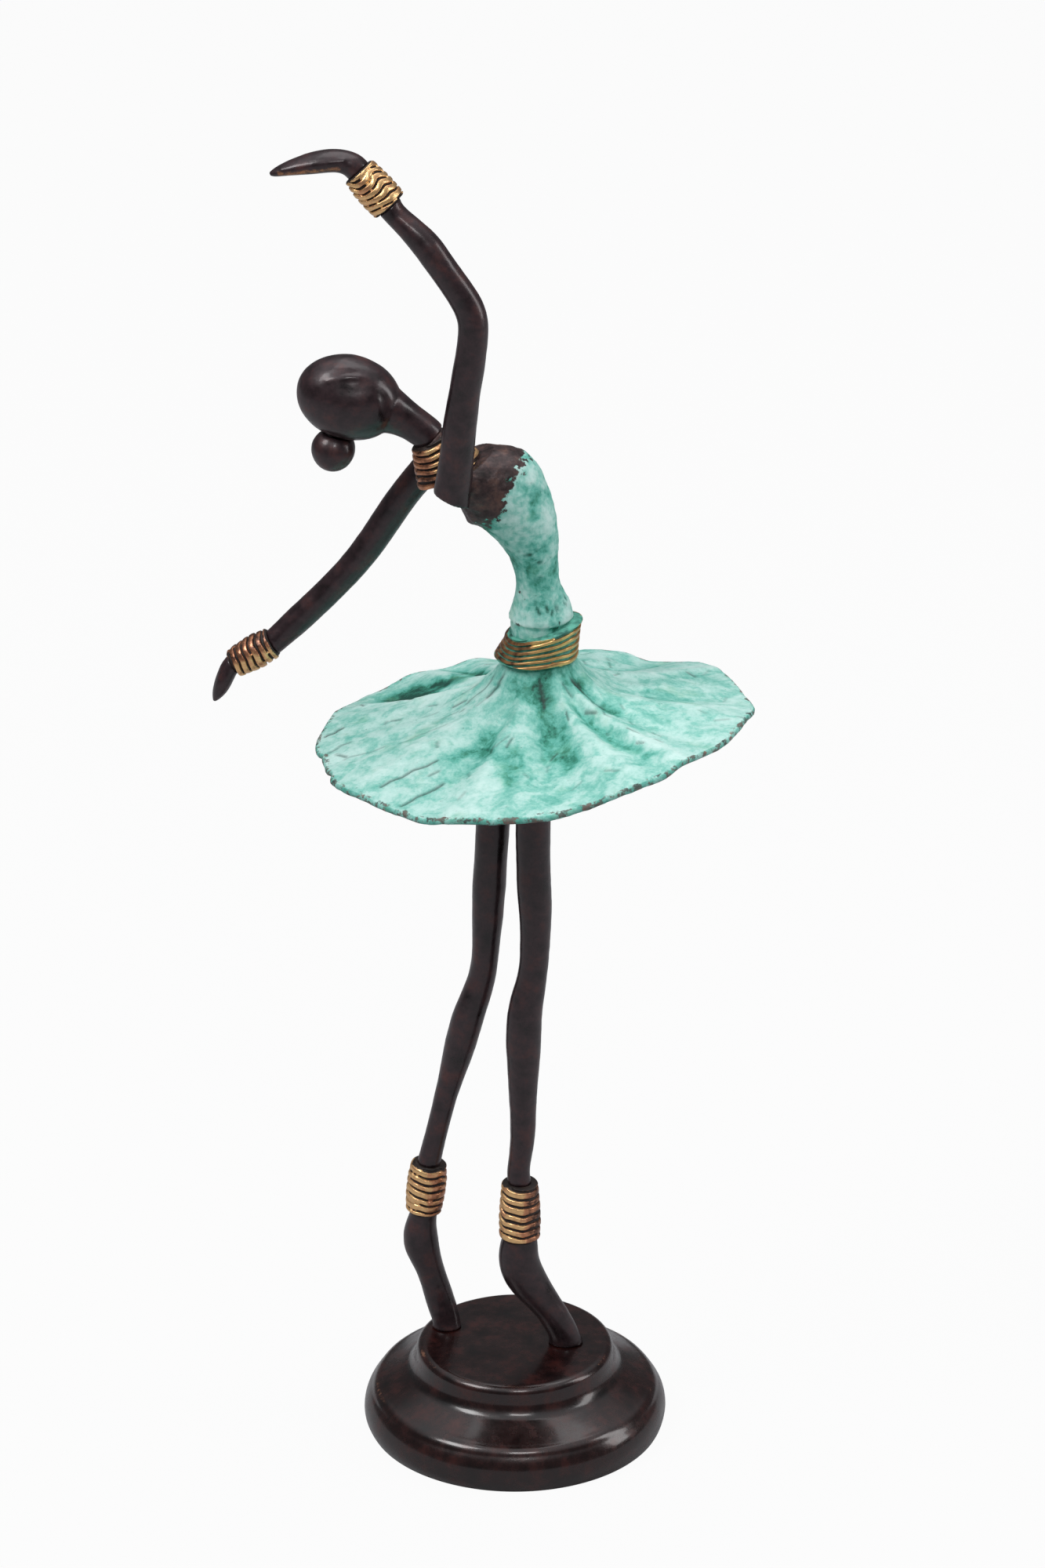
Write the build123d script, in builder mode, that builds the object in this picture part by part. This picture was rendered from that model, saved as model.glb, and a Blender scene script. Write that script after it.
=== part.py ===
"""Cast bronze dancer on a stepped round base.

The statuette is an assembly of separate castings. Wrapped ferrules at the wrists and ankles, a
wrapped belt and a set of neck rings cover the brazed sockets between the castings, dowels pin the
shoulders, hips and neck, and a threaded stud under each foot holds the figure to the hollow base.

Millimetres, +Z up, +X the way the dancer's chest faces, +Y to her left, and the origin in the
middle of the face the base rests on.
"""

from build123d import *
import os
from math import cos, exp, pi, radians, sin

os.makedirs("parts", exist_ok=True)

# ---------------------------------------------------------------- driving dimensions
BASE_RADIUS = 55.0
BASE_HEIGHT = 31.8
BASE_WALL = 3.5
BRAZE_GAP = 0.05  # radial room for the brazing metal in every socket
THREAD_GAP = 0.02

STUD_RADIUS = 2.0
STUD_TOP = BASE_HEIGHT + 9.0
NUT_HEIGHT = 3.2
NUT_FLATS = 7.0
WASHER_RADIUS = 4.5
WASHER_THICKNESS = 0.8

WRIST_SPIGOT = 2.95
ANKLE_SPIGOT = 3.45
SPIGOT_END_GAP = 0.25
STRAND_RELIEF = 0.6  # how far the grooves between wound strands lie below their crests

BELT_X = 8.8  # the waist, belt and skirt share one vertical axis
COLLAR_Z = 302.3  # where the belt stands on the skirt
BELT_HEIGHT = 14.0
BELT_SEAT_RADIUS = 10.0
WAIST_SPIGOT = 7.0
HIP_TOP = 291.0
HIP_BOTTOM = 268.0
WAIST_SPIGOT_BOTTOM = 281.5

SHOULDER_SEAT_Y = 12.0  # the arms are cut flat this far from the middle plane
SHOULDER_PIN = (-22.4, 373.3)  # x and z of both shoulder dowels
SHOULDER_DOWEL_RADIUS = 1.5
RIGHT_ARM_END = (-21.0, 0.0, 366.0)  # the raised arm is cut off on a slope through this point
RIGHT_ARM_SLOPE = (0.42, 0.0, 0.91)  # square to that slope
SHOULDER_DOWEL_HALF_LENGTH = 6.0
HIP_DOWEL_RADIUS = 2.0
HIP_DOWEL_HALF_LENGTH = 9.0
NECK_DOWEL_RADIUS = 2.0
NECK_DOWEL_HALF_LENGTH = 8.0

HEM_RADIUS = 76.4
HEM_CENTRE_X = 7.0
HEM_HEIGHT = 273.5
SKIRT_WALL = 2.6
SKIRT_FLARE_DEPTH = 14.3  # the steep drop just under the belt
SKIRT_FLARE_LENGTH = 9.0
SKIRT_RADII = [11.8, 14.5, 18.5, 24.0, 32.0, 43.0, 56.0, 67.0]
SKIRT_STEP = 5  # degrees between the radial sections
SKIRT_SPANS = 4  # the skirt is lofted a quarter at a time
HUB_RADIUS = 14.0
HUB_NECK_RADIUS = 12.5

# Limb stations: x, y, z of the centre line, half width in the XZ plane, half depth along Y.
LEFT_FOOT = [
    (-33.0, 10.4, 80.2, 5.1, 5.1),
    (-33.9, 10.6, 74.5, 5.4, 5.2),
    (-34.2, 11.0, 67.5, 6.2, 5.6),
    (-31.6, 11.0, 57.2, 5.3, 5.0),
    (-28.0, 11.0, 45.4, 5.2, 4.8),
    (-25.6, 10.6, 36.6, 5.1, 4.6),
    (-24.9, 10.3, BASE_HEIGHT, 5.3, 4.7),
]
RIGHT_FOOT = [
    (1.8, -2.0, 76.2, 6.0, 5.8),
    (1.3, -2.0, 69.0, 7.1, 6.4),
    (2.2, -2.0, 62.8, 7.4, 6.4),
    (6.3, -2.0, 54.8, 6.7, 5.7),
    (12.1, -2.0, 46.2, 5.6, 4.9),
    (16.6, -1.6, 38.0, 5.4, 4.5),
    (18.5, -1.0, BASE_HEIGHT, 6.1, 4.8),
]
LEFT_LEG = [
    (-31.0, 10.0, 99.3, 4.3, 4.3),
    (-29.5, 10.0, 105.9, 4.1, 4.2),
    (-27.9, 10.0, 113.0, 4.0, 4.1),
    (-22.7, 10.0, 134.5, 4.6, 4.7),
    (-18.9, 9.0, 150.0, 5.6, 5.6),
    (-15.8, 8.0, 161.8, 5.5, 5.6),
    (-12.2, 7.5, 173.2, 5.0, 5.2),
    (-10.3, 7.0, 186.0, 4.9, 5.2),
    (-9.6, 7.0, 199.3, 5.5, 5.6),
    (-8.4, 6.0, 221.8, 5.8, 5.9),
    (-7.5, 6.0, 238.0, 6.1, 6.1),
    (-6.6, 5.8, 254.0, 6.2, 6.2),
    (-6.0, 5.5, HIP_BOTTOM, 6.3, 6.3),
]
RIGHT_LEG = [
    (1.8, -2.0, 97.8, 4.5, 4.5),
    (2.4, -2.0, 112.0, 4.3, 4.3),
    (2.9, -2.4, 124.0, 4.7, 4.7),
    (2.9, -3.0, 137.4, 5.3, 5.3),
    (3.1, -4.0, 156.6, 6.3, 6.0),
    (3.8, -4.0, 168.0, 6.1, 5.9),
    (5.6, -4.0, 178.0, 5.4, 5.4),
    (7.0, -4.0, 190.0, 5.2, 5.3),
    (7.3, -4.0, 204.6, 5.7, 5.7),
    (6.7, -4.0, 219.2, 6.1, 6.0),
    (6.4, -4.0, 236.0, 6.1, 6.1),
    (6.3, -4.0, 252.0, 6.2, 6.2),
    (6.2, -4.0, HIP_BOTTOM, 6.3, 6.3),
]
TORSO = [
    (9.0, 0.0, COLLAR_Z + BELT_HEIGHT, 11.2, 10.8),
    (8.8, 0.0, 322.0, 9.6, 9.6),
    (7.9, 0.0, 330.0, 7.6, 8.4),
    (6.9, 0.0, 339.0, 8.2, 9.6),
    (3.6, 0.0, 350.5, 11.2, 11.6),
    (-2.6, 0.0, 360.6, 14.6, 13.6),
    (-6.5, 0.0, 364.6, 15.3, 13.8),
    (-10.8, 0.0, 367.4, 13.0, 13.8),
    (-19.0, 0.0, 372.6, 9.2, 13.3),
    (-25.0, 0.0, 378.0, 7.2, 8.6),
    (-28.2, 0.0, 382.4, 5.7, 6.0),
]
NECK = [
    (-28.2, 0.0, 382.4, 5.5, 5.5),
    (-32.5, 0.0, 385.9, 5.9, 5.9),
    (-37.5, 0.0, 389.3, 6.6, 6.3),
    (-44.0, 0.0, 392.8, 9.0, 8.0),
    (-50.0, 0.0, 395.4, 10.0, 9.0),
]
RIGHT_ARM = [
    (-21.4, -17.0, 359.5, 5.9, 5.6),
    (-21.0, -17.0, 368.0, 6.4, 5.8),
    (-19.8, -18.2, 378.0, 6.0, 5.6),
    (-17.9, -21.0, 397.0, 5.5, 5.4),
    (-15.0, -23.5, 416.0, 5.3, 5.2),
    (-13.6, -24.5, 428.0, 5.1, 5.1),
    (-14.4, -24.5, 435.5, 5.1, 5.1),
    (-18.5, -24.2, 443.5, 4.9, 5.0),
    (-24.5, -23.8, 452.2, 4.8, 4.9),
    (-33.0, -22.2, 462.8, 4.6, 4.7),
    (-41.0, -20.3, 471.4, 4.6, 4.6),
]
LEFT_ARM = [
    (-19.5, 17.0, 374.5, 5.2, 5.6),
    (-24.2, 17.2, 371.0, 5.7, 5.6),
    (-30.2, 18.0, 364.4, 5.4, 5.4),
    (-40.0, 20.0, 350.7, 5.2, 5.2),
    (-50.0, 22.5, 334.4, 5.1, 5.1),
    (-58.3, 24.0, 323.1, 4.9, 4.9),
    (-69.4, 26.0, 310.6, 4.9, 4.9),
    (-78.4, 27.0, 301.4, 4.7, 4.7),
    (-84.5, 27.0, 295.6, 4.5, 4.5),
]
RIGHT_HAND = [
    (-51.2, -18.2, 482.6, 4.2, 4.3),
    (-54.4, -18.0, 485.2, 4.0, 4.6),
    (-59.5, -18.0, 486.2, 3.7, 5.0),
    (-65.9, -18.0, 485.4, 3.5, 5.0),
    (-72.0, -18.0, 484.1, 2.7, 4.2),
    (-77.3, -18.0, 482.6, 1.7, 2.8),
    (-80.4, -18.0, 481.6, 0.6, 1.0),
]
LEFT_HAND = [
    (-98.4, 27.0, 287.4, 3.6, 3.8),
    (-100.5, 27.0, 284.4, 3.2, 4.2),
    (-102.0, 27.0, 280.8, 3.0, 4.4),
    (-103.5, 27.0, 277.4, 2.4, 3.6),
    (-104.7, 27.0, 274.9, 1.4, 2.2),
    (-105.4, 27.0, 273.4, 0.5, 0.9),
]

# Folds of the skirt: azimuth and half width in degrees, height of the fold, and how much of that
# height is left at the hem.
FOLDS = [
    (166, 12, 1.6, 0.5),
    (145, 11, -4.6, 0.4),
    (126, 7, 1.6, 0.9),
    (116, 5, -1.2, 0.5),
    (108, 6, 1.8, 1.0),
    (95, 6, -2.2, 1.0),
    (78, 8, 1.2, 0.8),
    (57, 8, -3.0, 0.8),
    (38, 8, 2.2, 0.7),
    (5, 10, -2.0, 0.4),
    (-16, 9, 1.2, 1.0),
    (-35, 6, -1.6, 0.2),
    (-49, 5, 1.6, 0.6),
    (-56, 5, -1.8, 0.3),
    (-68, 6, 2.0, 0.3),
    (-86, 9, -2.2, 0.2),
    (-110, 8, 1.4, 0.3),
    (-122, 6, -2.2, 0.2),
    (-143, 14, 1.2, 0.2),
]

# Waves of the hem: azimuth and half width in degrees, rise, and reach beyond the plain hem.
HEM_WAVES = [
    (-45, 26, 3.1, -1.6),
    (-60, 10, 1.5, 0.0),
    (-110, 60, 2.4, 0.0),
    (-150, 15, 1.3, -0.5),
    (-169, 8, 0.4, -2.2),
    (2, 24, 0.0, -1.8),
    (68, 14, 2.0, 0.0),
]


# ---------------------------------------------------------------- geometry helpers
def side_of(direction):
    """The direction in the XZ plane square to a limb's centre line."""
    return Vector(0, 1, 0).cross(direction).normalized()


def limb_sections(stations, first=None, last=None):
    """A plane square to the centre line and the two half sizes, for each station of a limb."""
    centres = [Vector(*station[:3]) for station in stations]
    final = len(centres) - 1
    for index, station in enumerate(stations):
        direction = centres[min(index + 1, final)] - centres[max(index - 1, 0)]
        if index == 0 and first is not None:
            direction = first
        if index == final and last is not None:
            direction = last
        direction = direction.normalized()
        plane = Plane(origin=centres[index], x_dir=side_of(direction), z_dir=direction)
        yield plane, station[3], station[4]


def axis_plane(start, direction):
    """The plane that holds an axis: local X is the radius and local Y runs along the axis."""
    side = side_of(direction)
    return Plane(origin=start, x_dir=side, z_dir=side.cross(direction))


def strand_points(length, radii, strands, relief=STRAND_RELIEF):
    """Groove, crest, groove, ... along a wound ferrule whose radius follows a parabola."""
    low, middle, high = radii
    points = []
    for index in range(2 * strands + 1):
        t = index / (2 * strands)
        radius = low * (1 - t) * (1 - 2 * t) + 4 * middle * t * (1 - t) + high * t * (2 * t - 1)
        points.append((radius - (0 if index % 2 else relief), length * t))
    return points


def fold_at(azimuth, share_of_radius):
    """Height of the folds above the plain skirt, in the direction of one azimuth."""
    total = 0.0
    for centre, half_width, height, at_hem in FOLDS:
        away = (azimuth - centre + 180) % 360 - 180
        swell = (1 - at_hem) * sin(pi * share_of_radius**0.7) + at_hem * share_of_radius
        total += height * swell * exp(-((away / half_width) ** 2))
    return total


def hem_wave(azimuth):
    """Rise and reach of the hem's waves in the direction of one azimuth."""
    rise, reach = 0.0, 0.0
    for centre, half_width, wave_rise, wave_reach in HEM_WAVES:
        away = (azimuth - centre + 180) % 360 - 180
        strength = exp(-((away / half_width) ** 2))
        rise += wave_rise * strength
        reach += wave_reach * strength
    return rise, reach


def hem_radius(azimuth):
    """Distance from the belt's axis to the hem."""
    offset = HEM_CENTRE_X - BELT_X
    lobes = 0.8 * cos(radians(7 * azimuth + 40)) + 0.5 * cos(radians(12 * azimuth))
    return HEM_RADIUS + offset * cos(radians(azimuth)) + lobes + hem_wave(azimuth)[1]


def hem_height(azimuth):
    """The hem is tilted, highest at the front right, and slightly saddle-shaped."""
    tilt = 8.8 * cos(radians(azimuth + 15))
    saddle = 2.3 * cos(radians(2 * azimuth + 38))
    return HEM_HEIGHT + tilt + saddle + hem_wave(azimuth)[0]


def skirt_height(azimuth, radius):
    """Upper surface: a steep flare under the belt, then a nearly straight fall to the hem."""
    inner, outer = SKIRT_RADII[0], hem_radius(azimuth)
    top = COLLAR_Z - 0.3
    fall = (top - SKIRT_FLARE_DEPTH - hem_height(azimuth)) / (outer - inner)
    flare = SKIRT_FLARE_DEPTH * (1 - exp(-(radius - inner) / SKIRT_FLARE_LENGTH))
    share = (radius - inner) / (outer - inner)
    return top - flare - fall * (radius - inner) + fold_at(azimuth, share)


# ---------------------------------------------------------------- joint frames
LEFT_WRIST = (Vector(*LEFT_ARM[-1][:3]), Vector(*LEFT_HAND[0][:3]))
RIGHT_WRIST = (Vector(*RIGHT_ARM[-1][:3]), Vector(*RIGHT_HAND[0][:3]))
LEFT_ANKLE = (Vector(*LEFT_LEG[0][:3]), Vector(*LEFT_FOOT[0][:3]))
RIGHT_ANKLE = (Vector(*RIGHT_LEG[0][:3]), Vector(*RIGHT_FOOT[0][:3]))
left_wrist_axis = (LEFT_WRIST[1] - LEFT_WRIST[0]).normalized()
right_wrist_axis = (RIGHT_WRIST[1] - RIGHT_WRIST[0]).normalized()
left_ankle_axis = (LEFT_ANKLE[1] - LEFT_ANKLE[0]).normalized()
right_ankle_axis = (RIGHT_ANKLE[1] - RIGHT_ANKLE[0]).normalized()

UP = Vector(0, 0, 1)
DOWN = Vector(0, 0, -1)
NECK_JOINT = Vector(*NECK[0][:3])
NECK_DIRECTION = Vector(-0.7, 0, 0.714).normalized()
neck_plane = Plane(
    origin=NECK_JOINT, x_dir=side_of(NECK_DIRECTION), z_dir=NECK_DIRECTION
)

FOOT_STUDS = {"left_foot_stud": (-25.2, 10.4), "right_foot_stud": (18.4, -1.2)}
HIP_PINS = [LEFT_LEG[-1][:2], RIGHT_LEG[-1][:2]]

RING_BASE = Vector(-22.1, 0, 370.2)
RING_TOP = Vector(-28.6, 0, 381.8)
RING_BASE_RADIUS = 12.4
RING_TOP_RADIUS = 6.9
RING_WALL = 1.5
RING_SEAT_CUTTER = 30.0  # the lathe cut reaches this far out from the rings' axis
ring_axis = (RING_TOP - RING_BASE).normalized()
ring_length = (RING_TOP - RING_BASE).length
ring_plane = axis_plane(RING_BASE, ring_axis)

HEAD_CENTRE = Vector(-55.8, 0, 396.8)
HEAD_LONG = 18.0
HEAD_SHORT = 14.6
HEAD_WIDTH_SHARE = 0.88
HEAD_TILT = 15.0  # degrees that the crown is raised above the horizontal
BUN_CENTRE = Vector(-61.5, 0, 378.0)
BUN_RADIUS = 7.6
BUN_PIN_RADIUS = 1.5
BUN_PIN_LENGTH = BUN_RADIUS + 3.0
bun_direction = (HEAD_CENTRE - BUN_CENTRE).normalized()

# ---------------------------------------------------------------- base
RIM_RADIUS = 48.8  # where the rounded rim meets the sloping step
RIM_HEIGHT = 16.5
TIER_RADIUS = 39.4
TIER_FOOT = 21.4
TOP_EDGE = 3.2  # the upper tier's edge is rounded over this height

with BuildPart() as base_plinth:
    with BuildSketch(Plane.XZ):
        with BuildLine():
            rim = ThreePointArc((53.4, 0), (BASE_RADIUS, 6.8), (52.2, 13.6))
            lip = ThreePointArc(rim @ 1, (50.8, 15.5), (RIM_RADIUS, RIM_HEIGHT))
            step = ThreePointArc(lip @ 1, (44.3, 18.7), (TIER_RADIUS, TIER_FOOT))
            cove = ThreePointArc(step @ 1, (37.4, 23.5), (36.3, 26.6))
            wall = Line(cove @ 1, (35.9, BASE_HEIGHT - TOP_EDGE))
            edge = ThreePointArc(wall @ 1, (34.9, BASE_HEIGHT - 0.9), (32.4, BASE_HEIGHT))
            Polyline(
                edge @ 1,
                (0, BASE_HEIGHT),
                (0, BASE_HEIGHT - BASE_WALL),
                (33.2, BASE_HEIGHT - BASE_WALL),
                (33.4, TIER_FOOT + 1.6),
                (TIER_RADIUS - 3.6, TIER_FOOT - 2.6),
                (RIM_RADIUS - 3.2, RIM_HEIGHT - BASE_WALL),
                (BASE_RADIUS - 4.6, 9.0),
                (49.6, 0),
                rim @ 0,
            )
        make_face()
    revolve(axis=Axis.Z)
    for x, y in FOOT_STUDS.values():
        with Locations((x, y, BASE_HEIGHT)):
            Hole(STUD_RADIUS + BRAZE_GAP, 2 * BASE_WALL)
base_plinth.part.label = "base_plinth"
export_step(base_plinth.part, "parts/base_plinth.step")

# ---------------------------------------------------------------- studs, washers and nuts
washer_top = BASE_HEIGHT - BASE_WALL
nut_top = washer_top - WASHER_THICKNESS
stud_bottom = nut_top - NUT_HEIGHT - STUD_RADIUS

for name, (x, y) in FOOT_STUDS.items():
    with BuildPart() as foot_stud:
        with BuildSketch(Plane(origin=(x, y, stud_bottom))):
            Circle(STUD_RADIUS)
        extrude(amount=STUD_TOP - stud_bottom)
        chamfer(foot_stud.edges().filter_by(GeomType.CIRCLE), length=0.4)
    foot_stud.part.label = name
    export_step(foot_stud.part, f"parts/{name}.step")

with BuildPart() as stud_washers:
    with BuildSketch(Plane.XY.offset(nut_top)):
        with Locations(*FOOT_STUDS.values()):
            Circle(WASHER_RADIUS)
            Circle(STUD_RADIUS + 0.15, mode=Mode.SUBTRACT)
    extrude(amount=WASHER_THICKNESS)
stud_washers.part.label = "stud_washers"
export_step(stud_washers.part, "parts/stud_washers.step")

with BuildPart() as stud_nuts:
    with BuildSketch(Plane.XY.offset(nut_top - NUT_HEIGHT)):
        with Locations(*FOOT_STUDS.values()):
            RegularPolygon(radius=NUT_FLATS / 2, side_count=6, major_radius=False)
            Circle(STUD_RADIUS + THREAD_GAP, mode=Mode.SUBTRACT)
    extrude(amount=NUT_HEIGHT)
stud_nuts.part.label = "stud_nuts"
export_step(stud_nuts.part, "parts/stud_nuts.step")

# ---------------------------------------------------------------- feet
for name, stations, ankle_axis, ankle in (
    ("left_foot", LEFT_FOOT, left_ankle_axis, LEFT_ANKLE),
    ("right_foot", RIGHT_FOOT, right_ankle_axis, RIGHT_ANKLE),
):
    stud_x, stud_y = FOOT_STUDS[name + "_stud"]
    with BuildPart() as foot:
        for plane, half_width, half_depth in limb_sections(stations, ankle_axis, DOWN):
            with BuildSketch(plane):
                Ellipse(half_width, half_depth)
        loft()
        with BuildSketch(
            Plane(origin=ankle[1], x_dir=side_of(ankle_axis), z_dir=-ankle_axis)
        ):
            Circle(ANKLE_SPIGOT)
        extrude(amount=(ankle[1] - ankle[0]).length / 2 - SPIGOT_END_GAP)
        with BuildSketch(Plane(origin=(stud_x, stud_y, BASE_HEIGHT))):
            Circle(STUD_RADIUS + THREAD_GAP)
        extrude(amount=STUD_TOP - BASE_HEIGHT + SPIGOT_END_GAP, mode=Mode.SUBTRACT)
    foot.part.label = name
    export_step(foot.part, f"parts/{name}.step")

# ---------------------------------------------------------------- legs
for name, stations, ankle_axis, ankle in (
    ("left_leg", LEFT_LEG, left_ankle_axis, LEFT_ANKLE),
    ("right_leg", RIGHT_LEG, right_ankle_axis, RIGHT_ANKLE),
):
    with BuildPart() as leg:
        for plane, half_width, half_depth in limb_sections(stations, -ankle_axis, UP):
            with BuildSketch(plane):
                Ellipse(half_width, half_depth)
        loft()
        with BuildSketch(
            Plane(origin=ankle[0], x_dir=side_of(ankle_axis), z_dir=ankle_axis)
        ):
            Circle(ANKLE_SPIGOT)
        extrude(amount=(ankle[1] - ankle[0]).length / 2 - SPIGOT_END_GAP)
        with Locations(stations[-1][:3]):
            Hole(HIP_DOWEL_RADIUS + BRAZE_GAP, HIP_DOWEL_HALF_LENGTH + SPIGOT_END_GAP)
    leg.part.label = name
    export_step(leg.part, f"parts/{name}.step")

# ---------------------------------------------------------------- wound ferrules
FERRULES = {
    "left_ankle_cuff": (LEFT_ANKLE, ANKLE_SPIGOT, (6.2, 7.0, 6.3), 7),
    "right_ankle_cuff": (RIGHT_ANKLE, ANKLE_SPIGOT, (6.3, 7.4, 7.3), 7),
    "left_wrist_cuff": (LEFT_WRIST, WRIST_SPIGOT, (5.4, 5.9, 4.5), 6),
    "right_wrist_cuff": (RIGHT_WRIST, WRIST_SPIGOT, (6.1, 6.5, 5.6), 6),
}
for name, ((start, end), spigot, radii, strands) in FERRULES.items():
    length = (end - start).length
    direction = (end - start).normalized()
    outline = strand_points(length, radii, strands)
    bore = spigot + BRAZE_GAP
    with BuildPart() as ferrule:
        with BuildSketch(axis_plane(start, direction)):
            with BuildLine():
                for index in range(strands):
                    ThreePointArc(*outline[2 * index : 2 * index + 3])
                Polyline(outline[-1], (bore, length), (bore, 0), outline[0])
            make_face()
        revolve(axis=Axis(start, direction))
    ferrule.part.label = name
    export_step(ferrule.part, f"parts/{name}.step")

# ---------------------------------------------------------------- hips
with BuildPart() as hip_block:
    for x, y, z, half_width, half_depth in (
        (0.2, 0.7, HIP_BOTTOM, 14.5, 12.0),
        (3.6, 0.6, 279.0, 15.5, 12.8),
        (BELT_X, 0.0, HIP_TOP, 12.5, 11.5),
    ):
        with BuildSketch(Plane(origin=(x, y, z))):
            Ellipse(half_width, half_depth)
    loft()
    with Locations((BELT_X, 0, HIP_TOP)):
        Hole(WAIST_SPIGOT + BRAZE_GAP, HIP_TOP - WAIST_SPIGOT_BOTTOM + SPIGOT_END_GAP)
    for x, y in HIP_PINS:
        with BuildSketch(Plane(origin=(x, y, HIP_BOTTOM))):
            Circle(HIP_DOWEL_RADIUS + BRAZE_GAP)
        extrude(amount=HIP_DOWEL_HALF_LENGTH + SPIGOT_END_GAP, mode=Mode.SUBTRACT)
hip_block.part.label = "hip_block"
export_step(hip_block.part, "parts/hip_block.step")

with BuildPart() as hip_dowels:
    with BuildSketch(Plane.XY.offset(HIP_BOTTOM - HIP_DOWEL_HALF_LENGTH)):
        with Locations(*HIP_PINS):
            Circle(HIP_DOWEL_RADIUS)
    extrude(amount=2 * HIP_DOWEL_HALF_LENGTH)
hip_dowels.part.label = "hip_dowels"
export_step(hip_dowels.part, "parts/hip_dowels.step")

# ---------------------------------------------------------------- skirt
with BuildPart() as skirt:
    for span in range(SKIRT_SPANS):
        sweep_angle = 360 // SKIRT_SPANS
        for azimuth in range(span * sweep_angle, (span + 1) * sweep_angle + 1, SKIRT_STEP):
            outward = Vector(cos(radians(azimuth)), sin(radians(azimuth)), 0)
            square = Vector(sin(radians(azimuth)), -cos(radians(azimuth)), 0)
            radii = SKIRT_RADII + [hem_radius(azimuth)]
            upper = [(radius, skirt_height(azimuth, radius)) for radius in radii]
            lower = [(radius, height - SKIRT_WALL) for radius, height in upper]
            shares = [index / (len(radii) - 1) for index in range(len(radii))]
            with BuildSketch(Plane(origin=(BELT_X, 0, 0), x_dir=outward, z_dir=square)):
                with BuildLine():
                    add(Edge.make_spline([Vector(*point) for point in upper], parameters=shares))
                    Line(upper[-1], lower[-1])
                    add(Edge.make_spline([Vector(*point) for point in lower], parameters=shares))
                    Line(lower[0], upper[0])
                make_face()
        loft()
    with BuildSketch(Plane(origin=(BELT_X, 0, 0), x_dir=(1, 0, 0), z_dir=(0, -1, 0))):
        with BuildLine():
            Polyline(
                (0, HIP_TOP),
                (HUB_RADIUS, HIP_TOP),
                (HUB_RADIUS, HIP_TOP + 3.0),
                (HUB_NECK_RADIUS, COLLAR_Z - 1.5),
                (HUB_NECK_RADIUS, COLLAR_Z),
                (0, COLLAR_Z),
                close=True,
            )
        make_face()
    revolve(axis=Axis((BELT_X, 0, 0), (0, 0, 1)))
    with Locations((BELT_X, 0, COLLAR_Z)):
        Hole(WAIST_SPIGOT + BRAZE_GAP, 2 * (COLLAR_Z - HIP_TOP))
skirt.part.label = "skirt"
export_step(skirt.part, "parts/skirt.step")

# ---------------------------------------------------------------- belt
BELT_RADII = (13.6, 13.1, 12.2)
BELT_STRANDS = 6
BELT_LEAN = 7.0  # degrees; the wound strands rise towards +X
belt_direction = Vector(UP).rotate(Axis.Y, -BELT_LEAN)
belt_centre = Vector(BELT_X, 0, COLLAR_Z + BELT_HEIGHT / 2)
belt_length = BELT_HEIGHT + 4.0
belt_start = belt_centre - belt_direction * (belt_length / 2)
belt_outline = strand_points(belt_length, BELT_RADII, BELT_STRANDS)

with BuildPart() as waist_wrap:
    with BuildSketch(axis_plane(belt_start, belt_direction)):
        with BuildLine():
            for index in range(BELT_STRANDS):
                ThreePointArc(*belt_outline[2 * index : 2 * index + 3])
            Polyline(belt_outline[-1], (0, belt_length), (0, 0), belt_outline[0])
        make_face()
    revolve(axis=Axis(belt_start, belt_direction))
    split(bisect_by=Plane.XY.offset(COLLAR_Z), keep=Keep.TOP)
    split(bisect_by=Plane.XY.offset(COLLAR_Z + BELT_HEIGHT), keep=Keep.BOTTOM)
    with Locations((BELT_X, 0, COLLAR_Z + BELT_HEIGHT)):
        Hole(BELT_SEAT_RADIUS + BRAZE_GAP, 2 * BELT_HEIGHT)
waist_wrap.part.label = "waist_wrap"
export_step(waist_wrap.part, "parts/waist_wrap.step")

# ---------------------------------------------------------------- torso
with BuildPart() as torso:
    for plane, half_width, half_depth in limb_sections(TORSO, UP, NECK_DIRECTION):
        with BuildSketch(plane):
            Ellipse(half_width, half_depth)
    loft()
    with BuildSketch(Plane.XY.offset(COLLAR_Z)):
        with Locations((BELT_X, 0)):
            Circle(BELT_SEAT_RADIUS)
    extrude(amount=BELT_HEIGHT)
    with BuildSketch(Plane.XY.offset(WAIST_SPIGOT_BOTTOM)):
        with Locations((BELT_X, 0)):
            Circle(WAIST_SPIGOT)
    extrude(amount=COLLAR_Z - WAIST_SPIGOT_BOTTOM)
    # turned seat for the neck rings
    with BuildSketch(ring_plane):
        with BuildLine():
            Polyline(
                (RING_BASE_RADIUS - RING_WALL - BRAZE_GAP, 0),
                (RING_SEAT_CUTTER, 0),
                (RING_SEAT_CUTTER, 2 * ring_length),
                (RING_TOP_RADIUS - RING_WALL - BRAZE_GAP, 2 * ring_length),
                (RING_TOP_RADIUS - RING_WALL - BRAZE_GAP, ring_length),
                close=True,
            )
        make_face()
    revolve(axis=Axis(RING_BASE, ring_axis), mode=Mode.SUBTRACT)
    # dowel holes for the arms
    for side in (1, -1):
        seat = Plane(
            origin=(SHOULDER_PIN[0], side * SHOULDER_SEAT_Y, SHOULDER_PIN[1]),
            x_dir=(1, 0, 0),
            z_dir=(0, side, 0),
        )
        with BuildSketch(seat):
            Circle(SHOULDER_DOWEL_RADIUS + BRAZE_GAP)
        hole_half_length = SHOULDER_DOWEL_HALF_LENGTH + SPIGOT_END_GAP
        extrude(amount=hole_half_length, both=True, mode=Mode.SUBTRACT)
    with BuildSketch(neck_plane):
        Circle(NECK_DOWEL_RADIUS + BRAZE_GAP)
    extrude(amount=-(NECK_DOWEL_HALF_LENGTH + SPIGOT_END_GAP), mode=Mode.SUBTRACT)
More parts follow.
